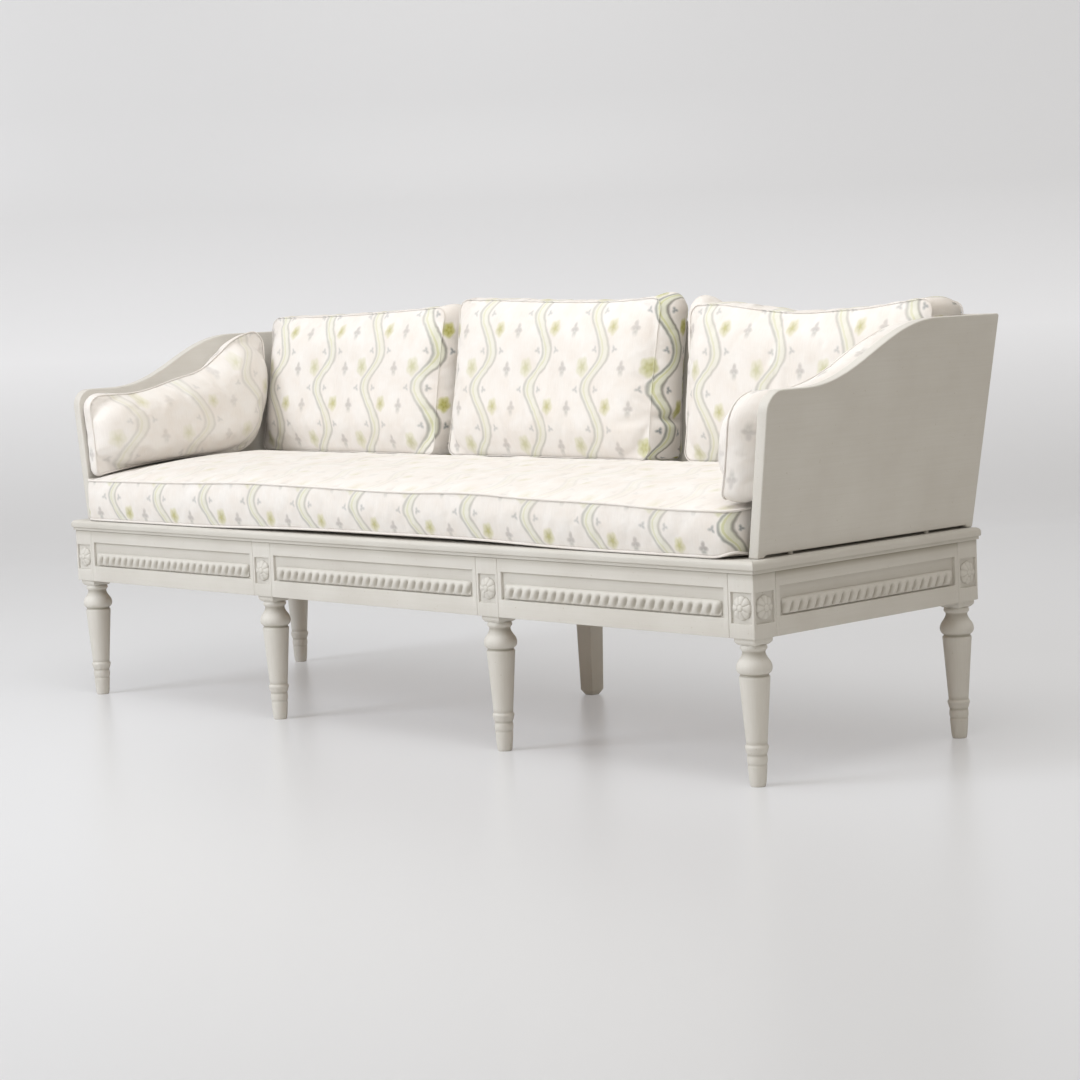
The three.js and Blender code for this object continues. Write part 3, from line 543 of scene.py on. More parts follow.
# %% Moulding
MOULDING_HEIGHT, OVERHANG = 22.0, 6.0
nose = np.linspace(math.pi / 2, math.pi, 9)
moulding_section = np.concatenate([
    [(63.4, 0), (64, 0.6), (64, 21.4), (63.4, MOULDING_HEIGHT)],
    np.stack([8 + 8 * np.cos(nose), 14 + 8 * np.sin(nose)], -1),
    [(0, 8.2), (0.4, 6.9), (1.6, 6.1), (2.9, 5.9), (3.2, 5.2), (3, 0.6), (3.6, 0)]])
# Painted shade under the nose at the lip, and a little darkening over the whole strip
moulding_shade = np.interp(moulding_section[:, 1], (3.0, 5.5, 7.5), (0.25, 0.8, 0.25))


def moulding(name, half_length, face, turn, finish):
    """The section from one mitre to the other: a point d inward ends d short of the corner."""
    inward, height = moulding_section.T
    reach = half_length - inward - FIT
    shares = np.linspace(-1, 1, 9)
    points = np.stack([shares[:, None] * reach, np.broadcast_to(inward - face, (9, len(inward))),
                       np.broadcast_to(height + RAIL_TOP + FIT, (9, len(inward)))], -1)
    carved = np.broadcast_to(moulding_shade, (9, len(inward)))
    return make_piece(f"fine_{name}", turned_about(points, turn), capped(9, len(inward)), "frame", [name],
                      finish, carved)


MOULDING_X, MOULDING_Y = HALF_LENGTH + OVERHANG, HALF_DEPTH + OVERHANG
moulding("moulding_front", MOULDING_X, MOULDING_Y, 0.0, paint_along_x)
moulding("moulding_rear", MOULDING_X, MOULDING_Y, math.pi, paint_along_x)
moulding("moulding_left", MOULDING_Y, MOULDING_X, -math.pi / 2, paint_along_y)
strip = moulding("moulding_right", MOULDING_Y, MOULDING_X, math.pi / 2, paint_along_y)
print("moulding faces", len(strip.data.polygons))

# %% [markdown]
# ## End boards and back
# The ends are boards with a swept top, planed flat and eased along their edges. Such a board is its
# outline, repeated through the thickness and drawn in a little where it nears a face, which rounds
# the edges. Then the whole board is slanted, because the ends lean outward and the back leans back.

# %% Boards
BOARD_FOOT = RAIL_TOP + FIT + MOULDING_HEIGHT + FIT
TILT = math.radians(4.8)  # of the back
LEAN, RAKE = math.tan(math.radians(7.0)), math.tan(TILT)
END_THICKNESS, BACK_THICKNESS = 22.0, 18.0
END_FRONT, BACK_OUTER = 27.0 - HALF_DEPTH, HALF_DEPTH + 3.0
END_INNER = HALF_LENGTH - 11.0 - END_THICKNESS
FRONT_HEIGHT, REAR_HEIGHT = 287.0, 393.0


ROUND = 0.5523  # share of the way to the corner at which a cubic curve is nearly a circle


def round_corner(a, corner, b, t):
    """Points of the cubic curve from a to b that has the sharp corner as its aim."""
    near = a + ROUND * (corner - a)
    far = b + ROUND * (corner - b)
    return (1 - t) ** 3 * a + 3 * (1 - t) ** 2 * t * near + 3 * (1 - t) * t ** 2 * far + t ** 3 * b


def rounded_path(corners, radii, steps=5):
    """A closed path whose corners are replaced by curves that start and stop a radius away."""
    corners = np.asarray(corners, float)
    pieces = []
    for corner, before, after, radius in zip(corners, np.roll(corners, 1, 0), np.roll(corners, -1, 0), radii):
        if radius == 0:
            pieces.append(corner[None])
            continue
        a = corner + radius * (before - corner) / np.linalg.norm(before - corner)
        b = corner + radius * (after - corner) / np.linalg.norm(after - corner)
        pieces.append(round_corner(a, corner, b, np.linspace(0, 1, steps + 1)[:, None]))
    return np.concatenate(pieces)


def drawn_in(path, inset):
    """The path moved inward along its normals; the path runs anticlockwise."""
    ahead = unit(np.roll(path, -1, 0) - path)
    behind = unit(path - np.roll(path, 1, 0))
    along = unit(ahead + behind)
    return path + inset * np.stack([-along[:, 1], along[:, 0]], -1)


def board(name, path, thickness, place, finish):
    """The path at each depth of the thickness, drawn in by the edge's round; place gives X, Y, Z."""
    ease = 2.6
    bend = np.linspace(0, math.pi / 2, 5)
    insets = ease * (1 - np.sin(bend))
    depths = ease * (1 - np.cos(bend))
    # A narrow flat ring inside the round keeps the wide face's shading flat
    insets = np.concatenate([[ease + 0.3], insets, insets[::-1], [ease + 0.3]])
    depths = np.concatenate([[0.0], depths, thickness - depths[::-1], [thickness]])
    points = np.stack([place(drawn_in(path, inset), depth) for inset, depth in zip(insets, depths)])
    return make_piece(f"fine_{name}", points, capped(len(insets), len(path)), "frame", [name], finish)


def sweep(start, end, low, high, handle):
    """A cubic curve that leaves level at a low height and arrives level at a high one."""
    t = np.linspace(0, 1, 48)
    weights = np.stack([(1 - t) ** 3, 3 * (1 - t) ** 2 * t, 3 * (1 - t) * t ** 2, t ** 3])
    y = np.array([start, start + handle, end - handle, end]) @ weights
    return np.stack([y, np.array([low, low, high, high]) @ weights], -1)


end_sweep = sweep(END_FRONT + 96, END_FRONT + 456, FRONT_HEIGHT, REAR_HEIGHT, 150)
end_corners = np.concatenate([
    [(END_FRONT, 0), (END_FRONT + 16, 0), (END_FRONT + 21, 5), (BACK_OUTER - 21, 5), (BACK_OUTER - 16, 0),
     (BACK_OUTER, 0), (BACK_OUTER + RAKE * REAR_HEIGHT, REAR_HEIGHT)],
    end_sweep[::-1], [(END_FRONT, FRONT_HEIGHT)]])
end_radii = [3.2, 3.2, 3.0, 3.0, 3.2, 3.2, 6.0] + [0] * len(end_sweep) + [38.0]
end_path = rounded_path(end_corners, end_radii, steps=8)


def right_place(path, depth):
    """Depth runs outward from the inner face, and the board leans outward with its height."""
    y, z = path.T
    return np.stack([END_INNER + depth + LEAN * z, y, z + BOARD_FOOT], -1)


def left_place(path, depth):
    """The right end's place, mirrored."""
    return right_place(path, depth) * (-1, 1, 1)


def back_place(path, depth):
    """Depth runs backward from the front face, and the board leans back with its height."""
    x, z = path.T
    return np.stack([x, BACK_OUTER - BACK_THICKNESS + depth + RAKE * z, z + BOARD_FOOT], -1)


back_foot = END_INNER - FIT
back_top = back_foot + LEAN * REAR_HEIGHT
back_path = rounded_path([(-back_foot, 0), (back_foot, 0), (back_top, REAR_HEIGHT), (-back_top, REAR_HEIGHT)],
                         [3.0] * 4)
board("end_board_left", end_path, END_THICKNESS, left_place, paint_along_y)
board("end_board_right", end_path, END_THICKNESS, right_place, paint_along_y)
back = board("back_board", back_path, BACK_THICKNESS, back_place, paint_along_x)
print("back board faces", len(back.data.polygons))

# %% [markdown]
# ## Printed cloth
# The cushions are covered in a light linen, printed with a common old stripe: a ribbon that winds
# up the cloth between two grey edges, a blossom in each of its bends, and small sprigs in the field
# between two ribbons. The print is worked out from the cloth's own map in metres, where u runs
# across the ribbons and v along them, so it turns and stretches with the cloth. Wrapping u and v
# at the repeat gives the whole cloth from one repeat; a picture of the print isn't needed.

# %% Print sizes
PITCH = 0.1655  # ribbon to ribbon, metres
WAVE = 0.162  # one bend to the left and one to the right
SWING = 0.022  # how far a ribbon strays to each side
BEND = 0.035  # height of the bend to the left over the blossom in it
BLOSSOM_OUT = 0.037
cloth_colours = {
    "ground": "#ECE9E6", "shade": "#E7E1DB", "left edge": "#8E918C", "right edge": "#8F8D86",
    "ribbon": "#DADCCB", "thread": "#C9CB98", "sprig": "#96908F", "mark": "#8A9093",
    "petal": "#BFBD79", "heart": "#9E9A46", "pale petal": "#C8C89E", "pale heart": "#B2B17C",
}


# %% Motif
def motif(tree, x, y, radius, petals, depth, turn, soft):
    """Mask of a flower: a distance is inside a radius that waves once round for each petal."""
    angle = maths(tree, "ARCTAN2", y, x)
    phase = maths(tree, "MULTIPLY_ADD", angle, float(petals), turn)
    wave = maths(tree, "COSINE", phase)
    edge = maths(tree, "MULTIPLY_ADD", wave, radius * depth, radius * (1 - depth))
    spot = add(tree, "CombineXYZ", {"X": x, "Y": y})
    far = add(tree, "VectorMath", {0: spot}, output="Value", operation="LENGTH")
    inside = maths(tree, "SUBTRACT", edge, far)
    return ranged(tree, inside, -soft, soft, 0.0, 1.0)


# %% Cloth
def printed_cloth():
    """Linen with the stripe, as a stack of masks over the ground colour."""
    material = bpy.data.materials.new("printed_linen")
    tree = cleared(material)
    flat = add(tree, "UVMap", uv_map="cloth")
    # A block print is never quite sharp: its lines stray by about a millimetre
    stray = add(tree, "TexNoise", {"Vector": flat, "Scale": 70.0, "Detail": 1.0}, output="Color")
    moved = add(tree, "VectorMath", {0: stray, 1: (0.0035,) * 3, 2: flat}, operation="MULTIPLY_ADD")
    parts = add(tree, "SeparateXYZ", {"Vector": moved})
    u, v = parts, parts.node.outputs["Y"]
    # The ribbon's middle is a sine of v, a little pointed by a second, faster one
    turn_rate = 2 * math.pi / WAVE
    start = -BEND * turn_rate - math.pi / 2
    bend = maths(tree, "MULTIPLY_ADD", v, turn_rate, start)
    sine = maths(tree, "SINE", bend)
    twice = maths(tree, "MULTIPLY_ADD", bend, 2.0, 0.6)
    ripple = maths(tree, "SINE", twice)
    swing = maths(tree, "MULTIPLY", sine, SWING)
    middle = maths(tree, "MULTIPLY_ADD", ripple, 0.0022, swing)
    field = maths(tree, "WRAP", u, PITCH / 2, -PITCH / 2)
    off = maths(tree, "SUBTRACT", field, middle)
    reach = maths(tree, "ABSOLUTE", off)
    # Cloudy ground, 60 mm across, as washed linen has
    cloud = add(tree, "TexNoise", {"Vector": flat, "Scale": 16.0, "Detail": 3.0, "Roughness": 0.6})
    ground_share = ranged(tree, cloud, 0.35, 0.7, 0.0, 1.0)
    tint = {name: linear(text) for name, text in cloth_colours.items()}
    colour = mixed(tree, ground_share, tint["ground"], tint["shade"])
    # Worn print: the print is thinner here and there. The print strength read from the points
    # also holds painted light: it pales the print on lit faces and keeps it strong on shaded ones
    thin = ranged(tree, cloud, 0.3, 0.75, 1.0, 0.75)
    strength = add(tree, "Attribute", output="Fac", attribute_name="print_and_painted_light")
    worn_and_lit_print = maths(tree, "MULTIPLY", thin, strength)
    layers = []
    fill = ranged(tree, reach, 0.0125, 0.0112, 0.0, 1.0)
    layers.append((fill, "ribbon"))
    inner = maths(tree, "SUBTRACT", off, -0.0035)
    inner = maths(tree, "ABSOLUTE", inner)
    layers.append((ranged(tree, inner, 0.0032, 0.0016, 0.0, 0.8), "thread"))
    outer = maths(tree, "SUBTRACT", reach, 0.0128)
    outer = maths(tree, "ABSOLUTE", outer)
    edge = ranged(tree, outer, 0.0055, 0.0009, 0.0, 1.0)
    rightward = maths(tree, "GREATER_THAN", off, 0.0)
    leftward = maths(tree, "LESS_THAN", off, 0.0)
    layers.append((maths(tree, "MULTIPLY", edge, leftward), "left edge"))
    layers.append((maths(tree, "MULTIPLY", edge, rightward), "right edge"))
    # Small marks on both sides of each bend
    x = maths(tree, "SUBTRACT", reach, 0.0275)
    y = maths(tree, "SUBTRACT", v, BEND)
    y = maths(tree, "WRAP", y, WAVE / 4, -WAVE / 4)
    layers.append((motif(tree, x, y, 0.0075, 3, 0.3, 0.5, 0.003), "mark"))
    # Sprigs in the field, nearer to one ribbon and then to the other
    rows = maths(tree, "MULTIPLY", v, turn_rate)
    rows = maths(tree, "COSINE", rows)
    side = maths(tree, "SIGN", rows)
    column = maths(tree, "MULTIPLY_ADD", side, -0.0115, u)
    x = maths(tree, "WRAP", column, PITCH, 0.0)
    x = maths(tree, "SUBTRACT", x, PITCH / 2)
    y = maths(tree, "WRAP", v, WAVE / 4, -WAVE / 4)
    layers.append((motif(tree, x, y, 0.0115, 3, 0.28, math.pi / 2, 0.003), "sprig"))
    tall = maths(tree, "MULTIPLY_ADD", y, 0.45, 0.005)
    layers.append((motif(tree, x, tall, 0.005, 2, 0.25, 0.0, 0.003), "left edge"))
    # Blossoms in the bends: small and strong on the right, wide and pale on the left
    for place, row, radius, petal, heart in ((BLOSSOM_OUT, 0.0, 0.0145, "petal", "heart"),
                                             (-BLOSSOM_OUT, WAVE / 2, 0.0175, "pale petal", "pale heart")):
        x = maths(tree, "SUBTRACT", u, place)
        x = maths(tree, "WRAP", x, PITCH / 2, -PITCH / 2)
        y = maths(tree, "SUBTRACT", v, row)
        y = maths(tree, "WRAP", y, WAVE / 2, -WAVE / 2)
        low = maths(tree, "MULTIPLY", y, 0.82)
        layers.append((motif(tree, x, low, radius, 5, 0.08, 0.9, 0.0028), petal))
        layers.append((motif(tree, x, low, radius * 0.55, 5, 0.16, 2.4, 0.0036), heart))
        layers.append((motif(tree, x, low, radius * 0.2, 1, 0.0, 0.0, 0.002), petal))
    for mask, name in layers:
        faded = maths(tree, "MULTIPLY", mask, worn_and_lit_print)
        colour = mixed(tree, faded, colour, tint[name])
    # Threads lie about 0.6 mm apart; they are drawn 1.6 mm apart, or they wouldn't show at all
    threads = []
    for axis in (u, v):
        count = maths(tree, "MULTIPLY", axis, 2 * math.pi / 0.0016)
        threads.append(maths(tree, "SINE", count))
    weave = maths(tree, "MULTIPLY", threads[0], threads[1])
    # Thick and thin places of the yarn, drawn out along it
    long_yarn = add(tree, "Mapping", {"Vector": flat, "Scale": (900.0, 35.0, 1.0)})
    slub = add(tree, "TexNoise", {"Vector": long_yarn, "Scale": 1.0, "Detail": 2.0})
    uneven = ranged(tree, slub, 0.3, 0.7, 0.965, 1.02)
    toned = add(tree, "VectorMath", {0: colour, 1: uneven}, operation="MULTIPLY")
    slack = add(tree, "TexNoise", {"Vector": flat, "Scale": 34.0, "Detail": 2.0, "Roughness": 0.5})
    soft = add(tree, "Bump", {"Strength": 0.5, "Distance": 0.0025, "Height": slack})
    woven = add(tree, "Bump", {"Strength": 0.35, "Distance": 0.0003, "Height": weave, "Normal": soft})
    shader = add(tree, "BsdfPrincipled", {"Base Color": toned, "Roughness": 0.88, "IOR": 1.45,
                                          "Specular IOR Level": 0.3, "Sheen Weight": 0.12,
                                          "Sheen Roughness": 0.5, "Normal": woven})
    add(tree, "OutputMaterial", {"Surface": shader})
    return material


linen = printed_cloth()
print("cloth nodes", len(linen.node_tree.nodes))

# %% [markdown]
# ## How a boxed cushion is sewn
# A boxed cushion is two panels and a strip, the boxing, sewn between them, with a thin piped cord
# in both seams. So the mesh is sewn the same way: a grid for each panel, spanned between the four
# sides of its outline, and a grid for the strip, which share their seams. Each grid keeps its own
# cloth map, so the print breaks at a seam as it does in real sewing. A remeshed ball would be
# quicker to make but would lose both the map and the seams.


# %% Outlines
def length_along(path):
    """Length from the start of a path of straight pieces to each of its points."""
    return np.concatenate([[0], np.cumsum(np.linalg.norm(np.diff(path, axis=0), axis=1))])


def even_steps(path, count, start=0, end=0):
    """Points at even steps along a path, without a length at its start and at its end."""
    length = length_along(path)
    at = np.linspace(start, length[-1] - end, count)
    return np.stack([np.interp(at, length, path[:, k]) for k in range(2)], -1)


def bowed(a, b, inward):
    """A side from a to b whose middle is drawn in, to the left of its direction."""
    a, b = np.array(a, float), np.array(b, float)
    t = np.linspace(0, 1, 200)[:, None]
    ahead = (b - a) / np.linalg.norm(b - a)
    return a + t * (b - a) + 4 * t * (1 - t) * inward * np.array([-ahead[1], ahead[0]])


def rounded_sides(sides, radii, counts):
    """Four sides in turn, anticlockwise, with round corners; each ends in the middle of a corner.
    A corner is a cubic curve between the sides, cut back by the radius, with the sharp corner as aim."""
    t = np.linspace(0, 1, 41)[:, None]
    trimmed = [even_steps(side, 400, radii[k], radii[(k + 1) % 4]) for k, side in enumerate(sides)]
    curves = [round_corner(trimmed[k - 1][-1], side[0], trimmed[k][0], t) for k, side in enumerate(sides)]
    joined = []
    for k in range(4):
        start, end = curves[k][20:], curves[(k + 1) % 4][:21]
        whole = np.concatenate([start, trimmed[k][1:-1], end])
        joined.append(even_steps(whole, counts[k % 2]))
    return joined


def patch(sides):
    """A grid between four sides: the two ways of joining opposite sides, less the corners' blend."""
    bottom, right_side, top, left_side = sides[0], sides[1], sides[2][::-1], sides[3][::-1]
    s = np.linspace(0, 1, len(bottom))[None, :, None]
    t = np.linspace(0, 1, len(left_side))[:, None, None]
    ruled = (1 - t) * bottom[None] + t * top[None] + (1 - s) * left_side[:, None] + s * right_side[:, None]
    corners = ((1 - s) * (1 - t) * bottom[0] + s * (1 - t) * bottom[-1]
               + (1 - s) * t * top[0] + s * t * top[-1])
    return ruled - corners, s[..., 0] + 0 * t[..., 0], t[..., 0] + 0 * s[..., 0]


def crown_share(s, t, level=0.0, peak=0.5, power=2.5, round_power=5.0):
    """1 in the middle and 0 at the seam: 1 less a power of the share of the way to the nearest side.
    The middle is level over a share of the length, and the peak lies at a share of the depth."""
    across = np.clip((np.abs(2 * s - 1) - level) / (1 - level), 0, 1)
    down = np.where(t < peak, (peak - t) / peak, (t - peak) / (1 - peak))
    share = np.clip((across ** round_power + down ** round_power) ** (1 / round_power), 0, 1)
    return 1 - share ** power


def fold(place, start, end, depth, width):
    """A crease: its depth fades with the square of the distance from a line, and towards its ends."""
    start, end = np.array(start, float), np.array(end, float)
    line = end - start
    share = np.clip(((place - start) @ line) / (line @ line), 0, 1)
    gap = np.linalg.norm(place - start - share[..., None] * line, axis=-1)
    return depth * np.exp(-(gap / width) ** 2) * (1 - share) ** 0.7


# %% Sewing
def sewn(name, body, grids):
    """One mesh from grids of (points, map, reach, held, print strength), sewn where their edges meet.
    Reach is how far stuffing may push a point, held marks the seams, and the last is the print's
    strength, which also holds painted light: paler on lit faces, stronger on shaded ones."""
    points, maps, reaches, held, prints_and_painted_light, faces = [], [], [], [], [], []
    for place, flat, reach, seam, print_and_painted_light in grids:
        rows, columns = place.shape[:2]
        faces.append(grid_faces(rows, columns, False) + sum(len(k) for k in points))
        points.append(place.reshape(-1, 3))
        maps.append(flat.reshape(-1, 2))
        reaches.append(np.broadcast_to(reach, (rows, columns)).ravel())
        held.append(np.broadcast_to(seam, (rows, columns)).ravel())
        prints_and_painted_light.append(np.broadcast_to(print_and_painted_light, (rows, columns)).ravel())
    places = np.concatenate(points)
    places[:, 1] += MIDDLE_Y
    corners = np.concatenate(faces)
    mesh = bpy.data.meshes.new(name)
    mesh.from_pydata((places * MM).tolist(), [], corners.tolist())
    flat_map = mesh.uv_layers.new(name="cloth")
    flat_map.data.foreach_set("uv", (np.concatenate(maps)[corners.ravel()] * MM).ravel())
    for title, values in (("reach", reaches), ("held", held), ("print_and_painted_light", prints_and_painted_light)):
        mesh.attributes.new(title, "FLOAT", "POINT").data.foreach_set(
            "value", np.concatenate(values).astype(np.float32))
    welded(mesh, 2e-6)
    piece = placed(name, mesh, linen)
    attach(piece, body)
    return piece


def boxed_cushion(name, node, sides, boxing, front, rear, bulge, place, maps, reaches, rows, prints_and_painted_light):
    """A cushion from its outline: front and rear are crowns in millimetres as functions of the patch,
    place turns (across, along, depth) into X, Y, Z, and maps gives each grid its cloth map. The last
    argument gives the print's strength on the panels and on the boxing, as functions of the place on
    the outline; it also holds painted light, paler on lit faces and stronger on shaded ones."""
    flat, s, t = patch(sides)
    seam = np.zeros(s.shape)
    seam[0], seam[-1], seam[:, 0], seam[:, -1] = 1, 1, 1, 1
    front_depth = boxing + front(flat, s, t)
    rear_depth = -rear(flat, s, t)
    loop = np.concatenate([side[:-1] for side in sides] + [sides[0][:1]])
    ahead = unit(np.roll(loop[:-1], -1, 0) - np.roll(loop[:-1], 1, 0))
    outward = np.stack([ahead[:, 1], -ahead[:, 0]], -1)
    outward = np.concatenate([outward, outward[:1]])
    run = length_along(loop)
    across = np.linspace(0, 1, rows)[:, None]
    swell = np.sin(math.pi * across) * bulge(loop, across) * np.ones(len(loop))
    strip = loop[None] + swell[..., None] * outward[None]
    strip_depth = np.broadcast_to(across * boxing, swell.shape)
    strip_seam = np.zeros(swell.shape)
    strip_seam[0], strip_seam[-1] = 1, 1
    spread = loop[None] + (boxing - strip_depth)[..., None] * outward[None]
    grids = [
        (place(flat, front_depth), maps[0](flat), reaches[0](flat, s, t), seam, prints_and_painted_light[0](flat)),
        (place(flat, rear_depth), maps[1](flat), reaches[1](flat, s, t), seam, prints_and_painted_light[0](flat)),
        (place(strip, strip_depth), maps[2](run[None] + 0 * swell, strip_depth, spread),
         reaches[2](loop, across), strip_seam, prints_and_painted_light[1](loop)),
    ]
    piece = sewn(name, node, grids)
    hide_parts(node)
    seams = [place(loop[:-1] + 0.6 * outward[:-1], np.full(len(loop) - 1, depth)) for depth in (0.0, boxing)]
    print_and_painted_light = prints_and_painted_light[0](loop) * np.ones(len(loop))
    return piece, [(seam, maps[0](loop), print_and_painted_light) for seam in seams]


def grown(low, high, start, end):
    """Strength that grows from low to high between two places across."""
    return lambda flat: low + (high - low) * np.clip((flat[..., 0] - start) / (end - start), 0, 1)


# %% [markdown]
# ## Seat cushion
# One long cushion covers the whole seat. It is fullest behind its middle, where the fronts of the
# back cushions stand, and its front seam wanders up and down a little as the stuffing has settled.

# %% Seat cushion
SEAT_HALF, SEAT_FRONT, SEAT_REAR = 955.0, -313.5, 292.5
SEAT_BOXING, SEAT_PEAK, SEAT_CROWN = 90.0, 80.0, 32.0
SEAT_LIFT = 3.2  # room for the lower cord under the seam
seam_x = np.array([-955, -892, -599, -383, -138, 97, 300, 437, 668, 792, 946.0])
seam_rise = np.array([-1, -1, 2, 8, 5, 1, 7, 0, -2, -8, -7.0])
across_fine = np.linspace(-960, 960, 385)
rise_fine = smoothed(np.interp(across_fine, seam_x, seam_rise), 31)


def seat_rise(x, y):
    """How much the settled front seam lifts the cushion: all of it in front, none behind the peak."""
    share = np.clip((SEAT_PEAK - 60 - y) / (SEAT_PEAK - 60 - SEAT_FRONT), 0, 1)
    return np.interp(x, across_fine, rise_fine) * share ** 1.5


def seat_top(y):
    """Height of the crown over the level part, as on the frame of solids."""
    edge = np.where(y < SEAT_PEAK, SEAT_FRONT, SEAT_REAR)
    share = np.clip((y - SEAT_PEAK) / (edge - SEAT_PEAK), 0, 1)
    return BOARD_FOOT + SEAT_BOXING + SEAT_CROWN * (1 - share ** 2.5)


def seat_place(flat, depth):
    """Lies flat; the settled seam lifts points in step with their height."""
    x, y = flat[..., 0], flat[..., 1]
    squeeze = (SEAT_BOXING - SEAT_LIFT) / SEAT_BOXING
    height = np.where(depth > 0, SEAT_LIFT + depth * squeeze, SEAT_LIFT + depth)
    lifted = height + seat_rise(x, y) * np.clip(depth / SEAT_BOXING, 0, 1)
    # In the middle of the front the lower seam stands a little off the moulding
    off = 7.0 * np.exp(-((x - 40) / 430) ** 4) * np.clip((-270 - y) / 40, 0, 1)
    # and its right corner turns up
    off = off + 9.0 * np.clip((x - 905) / 45, 0, 1) ** 2 * np.clip((-250 - y) / 50, 0, 1)
    lifted = lifted + off * np.clip(1 - depth / 60, 0, 1)
    return np.stack([x, y, BOARD_FOOT + lifted], -1)


def seat_front(flat, s, t):
    """The crown, from the frame of solids."""
    peak = (SEAT_PEAK - SEAT_FRONT) / (SEAT_REAR - SEAT_FRONT)
    return SEAT_CROWN * crown_share(s, t, level=1 - 70 / SEAT_HALF, peak=peak, round_power=7.0)


def seat_rear(flat, s, t):
    """The underside sags onto the boards within 26 mm of its seam."""
    edge = np.minimum(np.minimum(s, 1 - s) * 1910, np.minimum(t, 1 - t) * 606)
    return (SEAT_LIFT - 0.4) * np.clip(edge / 26, 0, 1) ** 0.5


def seat_reach(flat, s, t):
    """Free in front of the cushions that lie on it, and held down under them."""
    free = np.clip((150 - flat[..., 1]) / 60, 0, 1) * np.clip((880 - np.abs(flat[..., 0])) / 40, 0, 1)
    return 0.5 + 6.0 * free


seat_sides = rounded_sides([
    bowed((-SEAT_HALF, SEAT_FRONT), (SEAT_HALF, SEAT_FRONT), 3.0),
    bowed((SEAT_HALF, SEAT_FRONT), (SEAT_HALF, SEAT_REAR), 3.0),
    bowed((SEAT_HALF, SEAT_REAR), (-SEAT_HALF, SEAT_REAR), 3.0),
    bowed((-SEAT_HALF, SEAT_REAR), (-SEAT_HALF, SEAT_FRONT), 3.0)], [26.0, 26.0, 30.0, 30.0], (176, 57))
RIBBON_AT, ROW_AT = 153.0, 414.0  # a ribbon's place along the front, and a row of blossoms
FRONT_MIDDLE, FRONT_SEAM = 949.0, 478.0  # length of boxing up to the middle, height of the upper seam
EASE = 1.02  # the long cover is drawn together a little, and its pattern with it


# %% Seat cushion's cloth
def plain_map(flat):
    """The cloth map of a hidden panel: its own outline."""
    return np.stack([flat[..., 0], flat[..., 1]], -1)


def seat_map(flat):
    """The outline, moved so that the ribbons run on from the boxing's."""
    return np.stack([(flat[..., 0] - RIBBON_AT) * EASE, flat[..., 1] - SEAT_FRONT + FRONT_SEAM - ROW_AT], -1)


def seat_strip_map(run, depth, spread):
    """Length along the boxing, counted from the middle of the front, and height above the floor."""
    return np.stack([(run - FRONT_MIDDLE - RIBBON_AT) * EASE, depth + BOARD_FOOT - ROW_AT], -1)


# Painted light: the print is paler on the lit top and stronger on the boxing, most at the shaded right end
seat_cushion, seat_seams = boxed_cushion(
    "sewn_seat_cushion", "seat_cushion", seat_sides, SEAT_BOXING, seat_front, seat_rear,
    lambda loop, across: 4.0, seat_place, [seat_map, plain_map, seat_strip_map],
    [seat_reach, lambda flat, s, t: 0.3, lambda loop, across: np.where(loop[None, :, 1] < -300, 3.5, 0.8)],
    11, [grown(0.12, 0.3, 880, 940), grown(0.5, 0.9, 860, 930)])
print("seat cushion faces", len(seat_cushion.data.polygons))

# %% [markdown]
# ## Back cushions
# Three loose cushions lean on the back. They were made alike but have settled differently: their
# top edges dip or perk up, and the middle one is pinched at its right side, with soft folds running
# from the pinch into the panel.

# %% Back cushion places
BACK_WIDTH, BACK_HEIGHT, BACK_BOXING = 600.03, 318.0, 98.0
SEAM_FRONT = 92.0  # depth of the front seam on the frame of solids
SEAM_STAND_OFF = 99.3  # from the back board to the front seam, square to the board
BACK_FOOT = 507.37


def front_seam(z):
    """Depth of the back cushions' front seam at a height."""
    return BACK_OUTER - BACK_THICKNESS + RAKE * (z - BOARD_FOOT) - SEAM_STAND_OFF / math.cos(TILT)


def leaning(middle_x, aside, thinning):
    """Place of a back cushion: height runs up along the rake and depth comes forward. Its top has
    sunk aside by a length, and is thinner than its foot by a share."""
    def place(flat, depth):
        share = flat[..., 1] / BACK_HEIGHT
        along, height = flat[..., 0] + aside * share, flat[..., 1]
        w = depth * (1 - thinning * share) - SEAM_FRONT
        y = front_seam(BACK_FOOT) + height * math.sin(TILT) - w * math.cos(TILT)
        z = BACK_FOOT + height * math.cos(TILT) + w * math.sin(TILT)
        return np.stack([middle_x + along, y, z], -1)
    return place


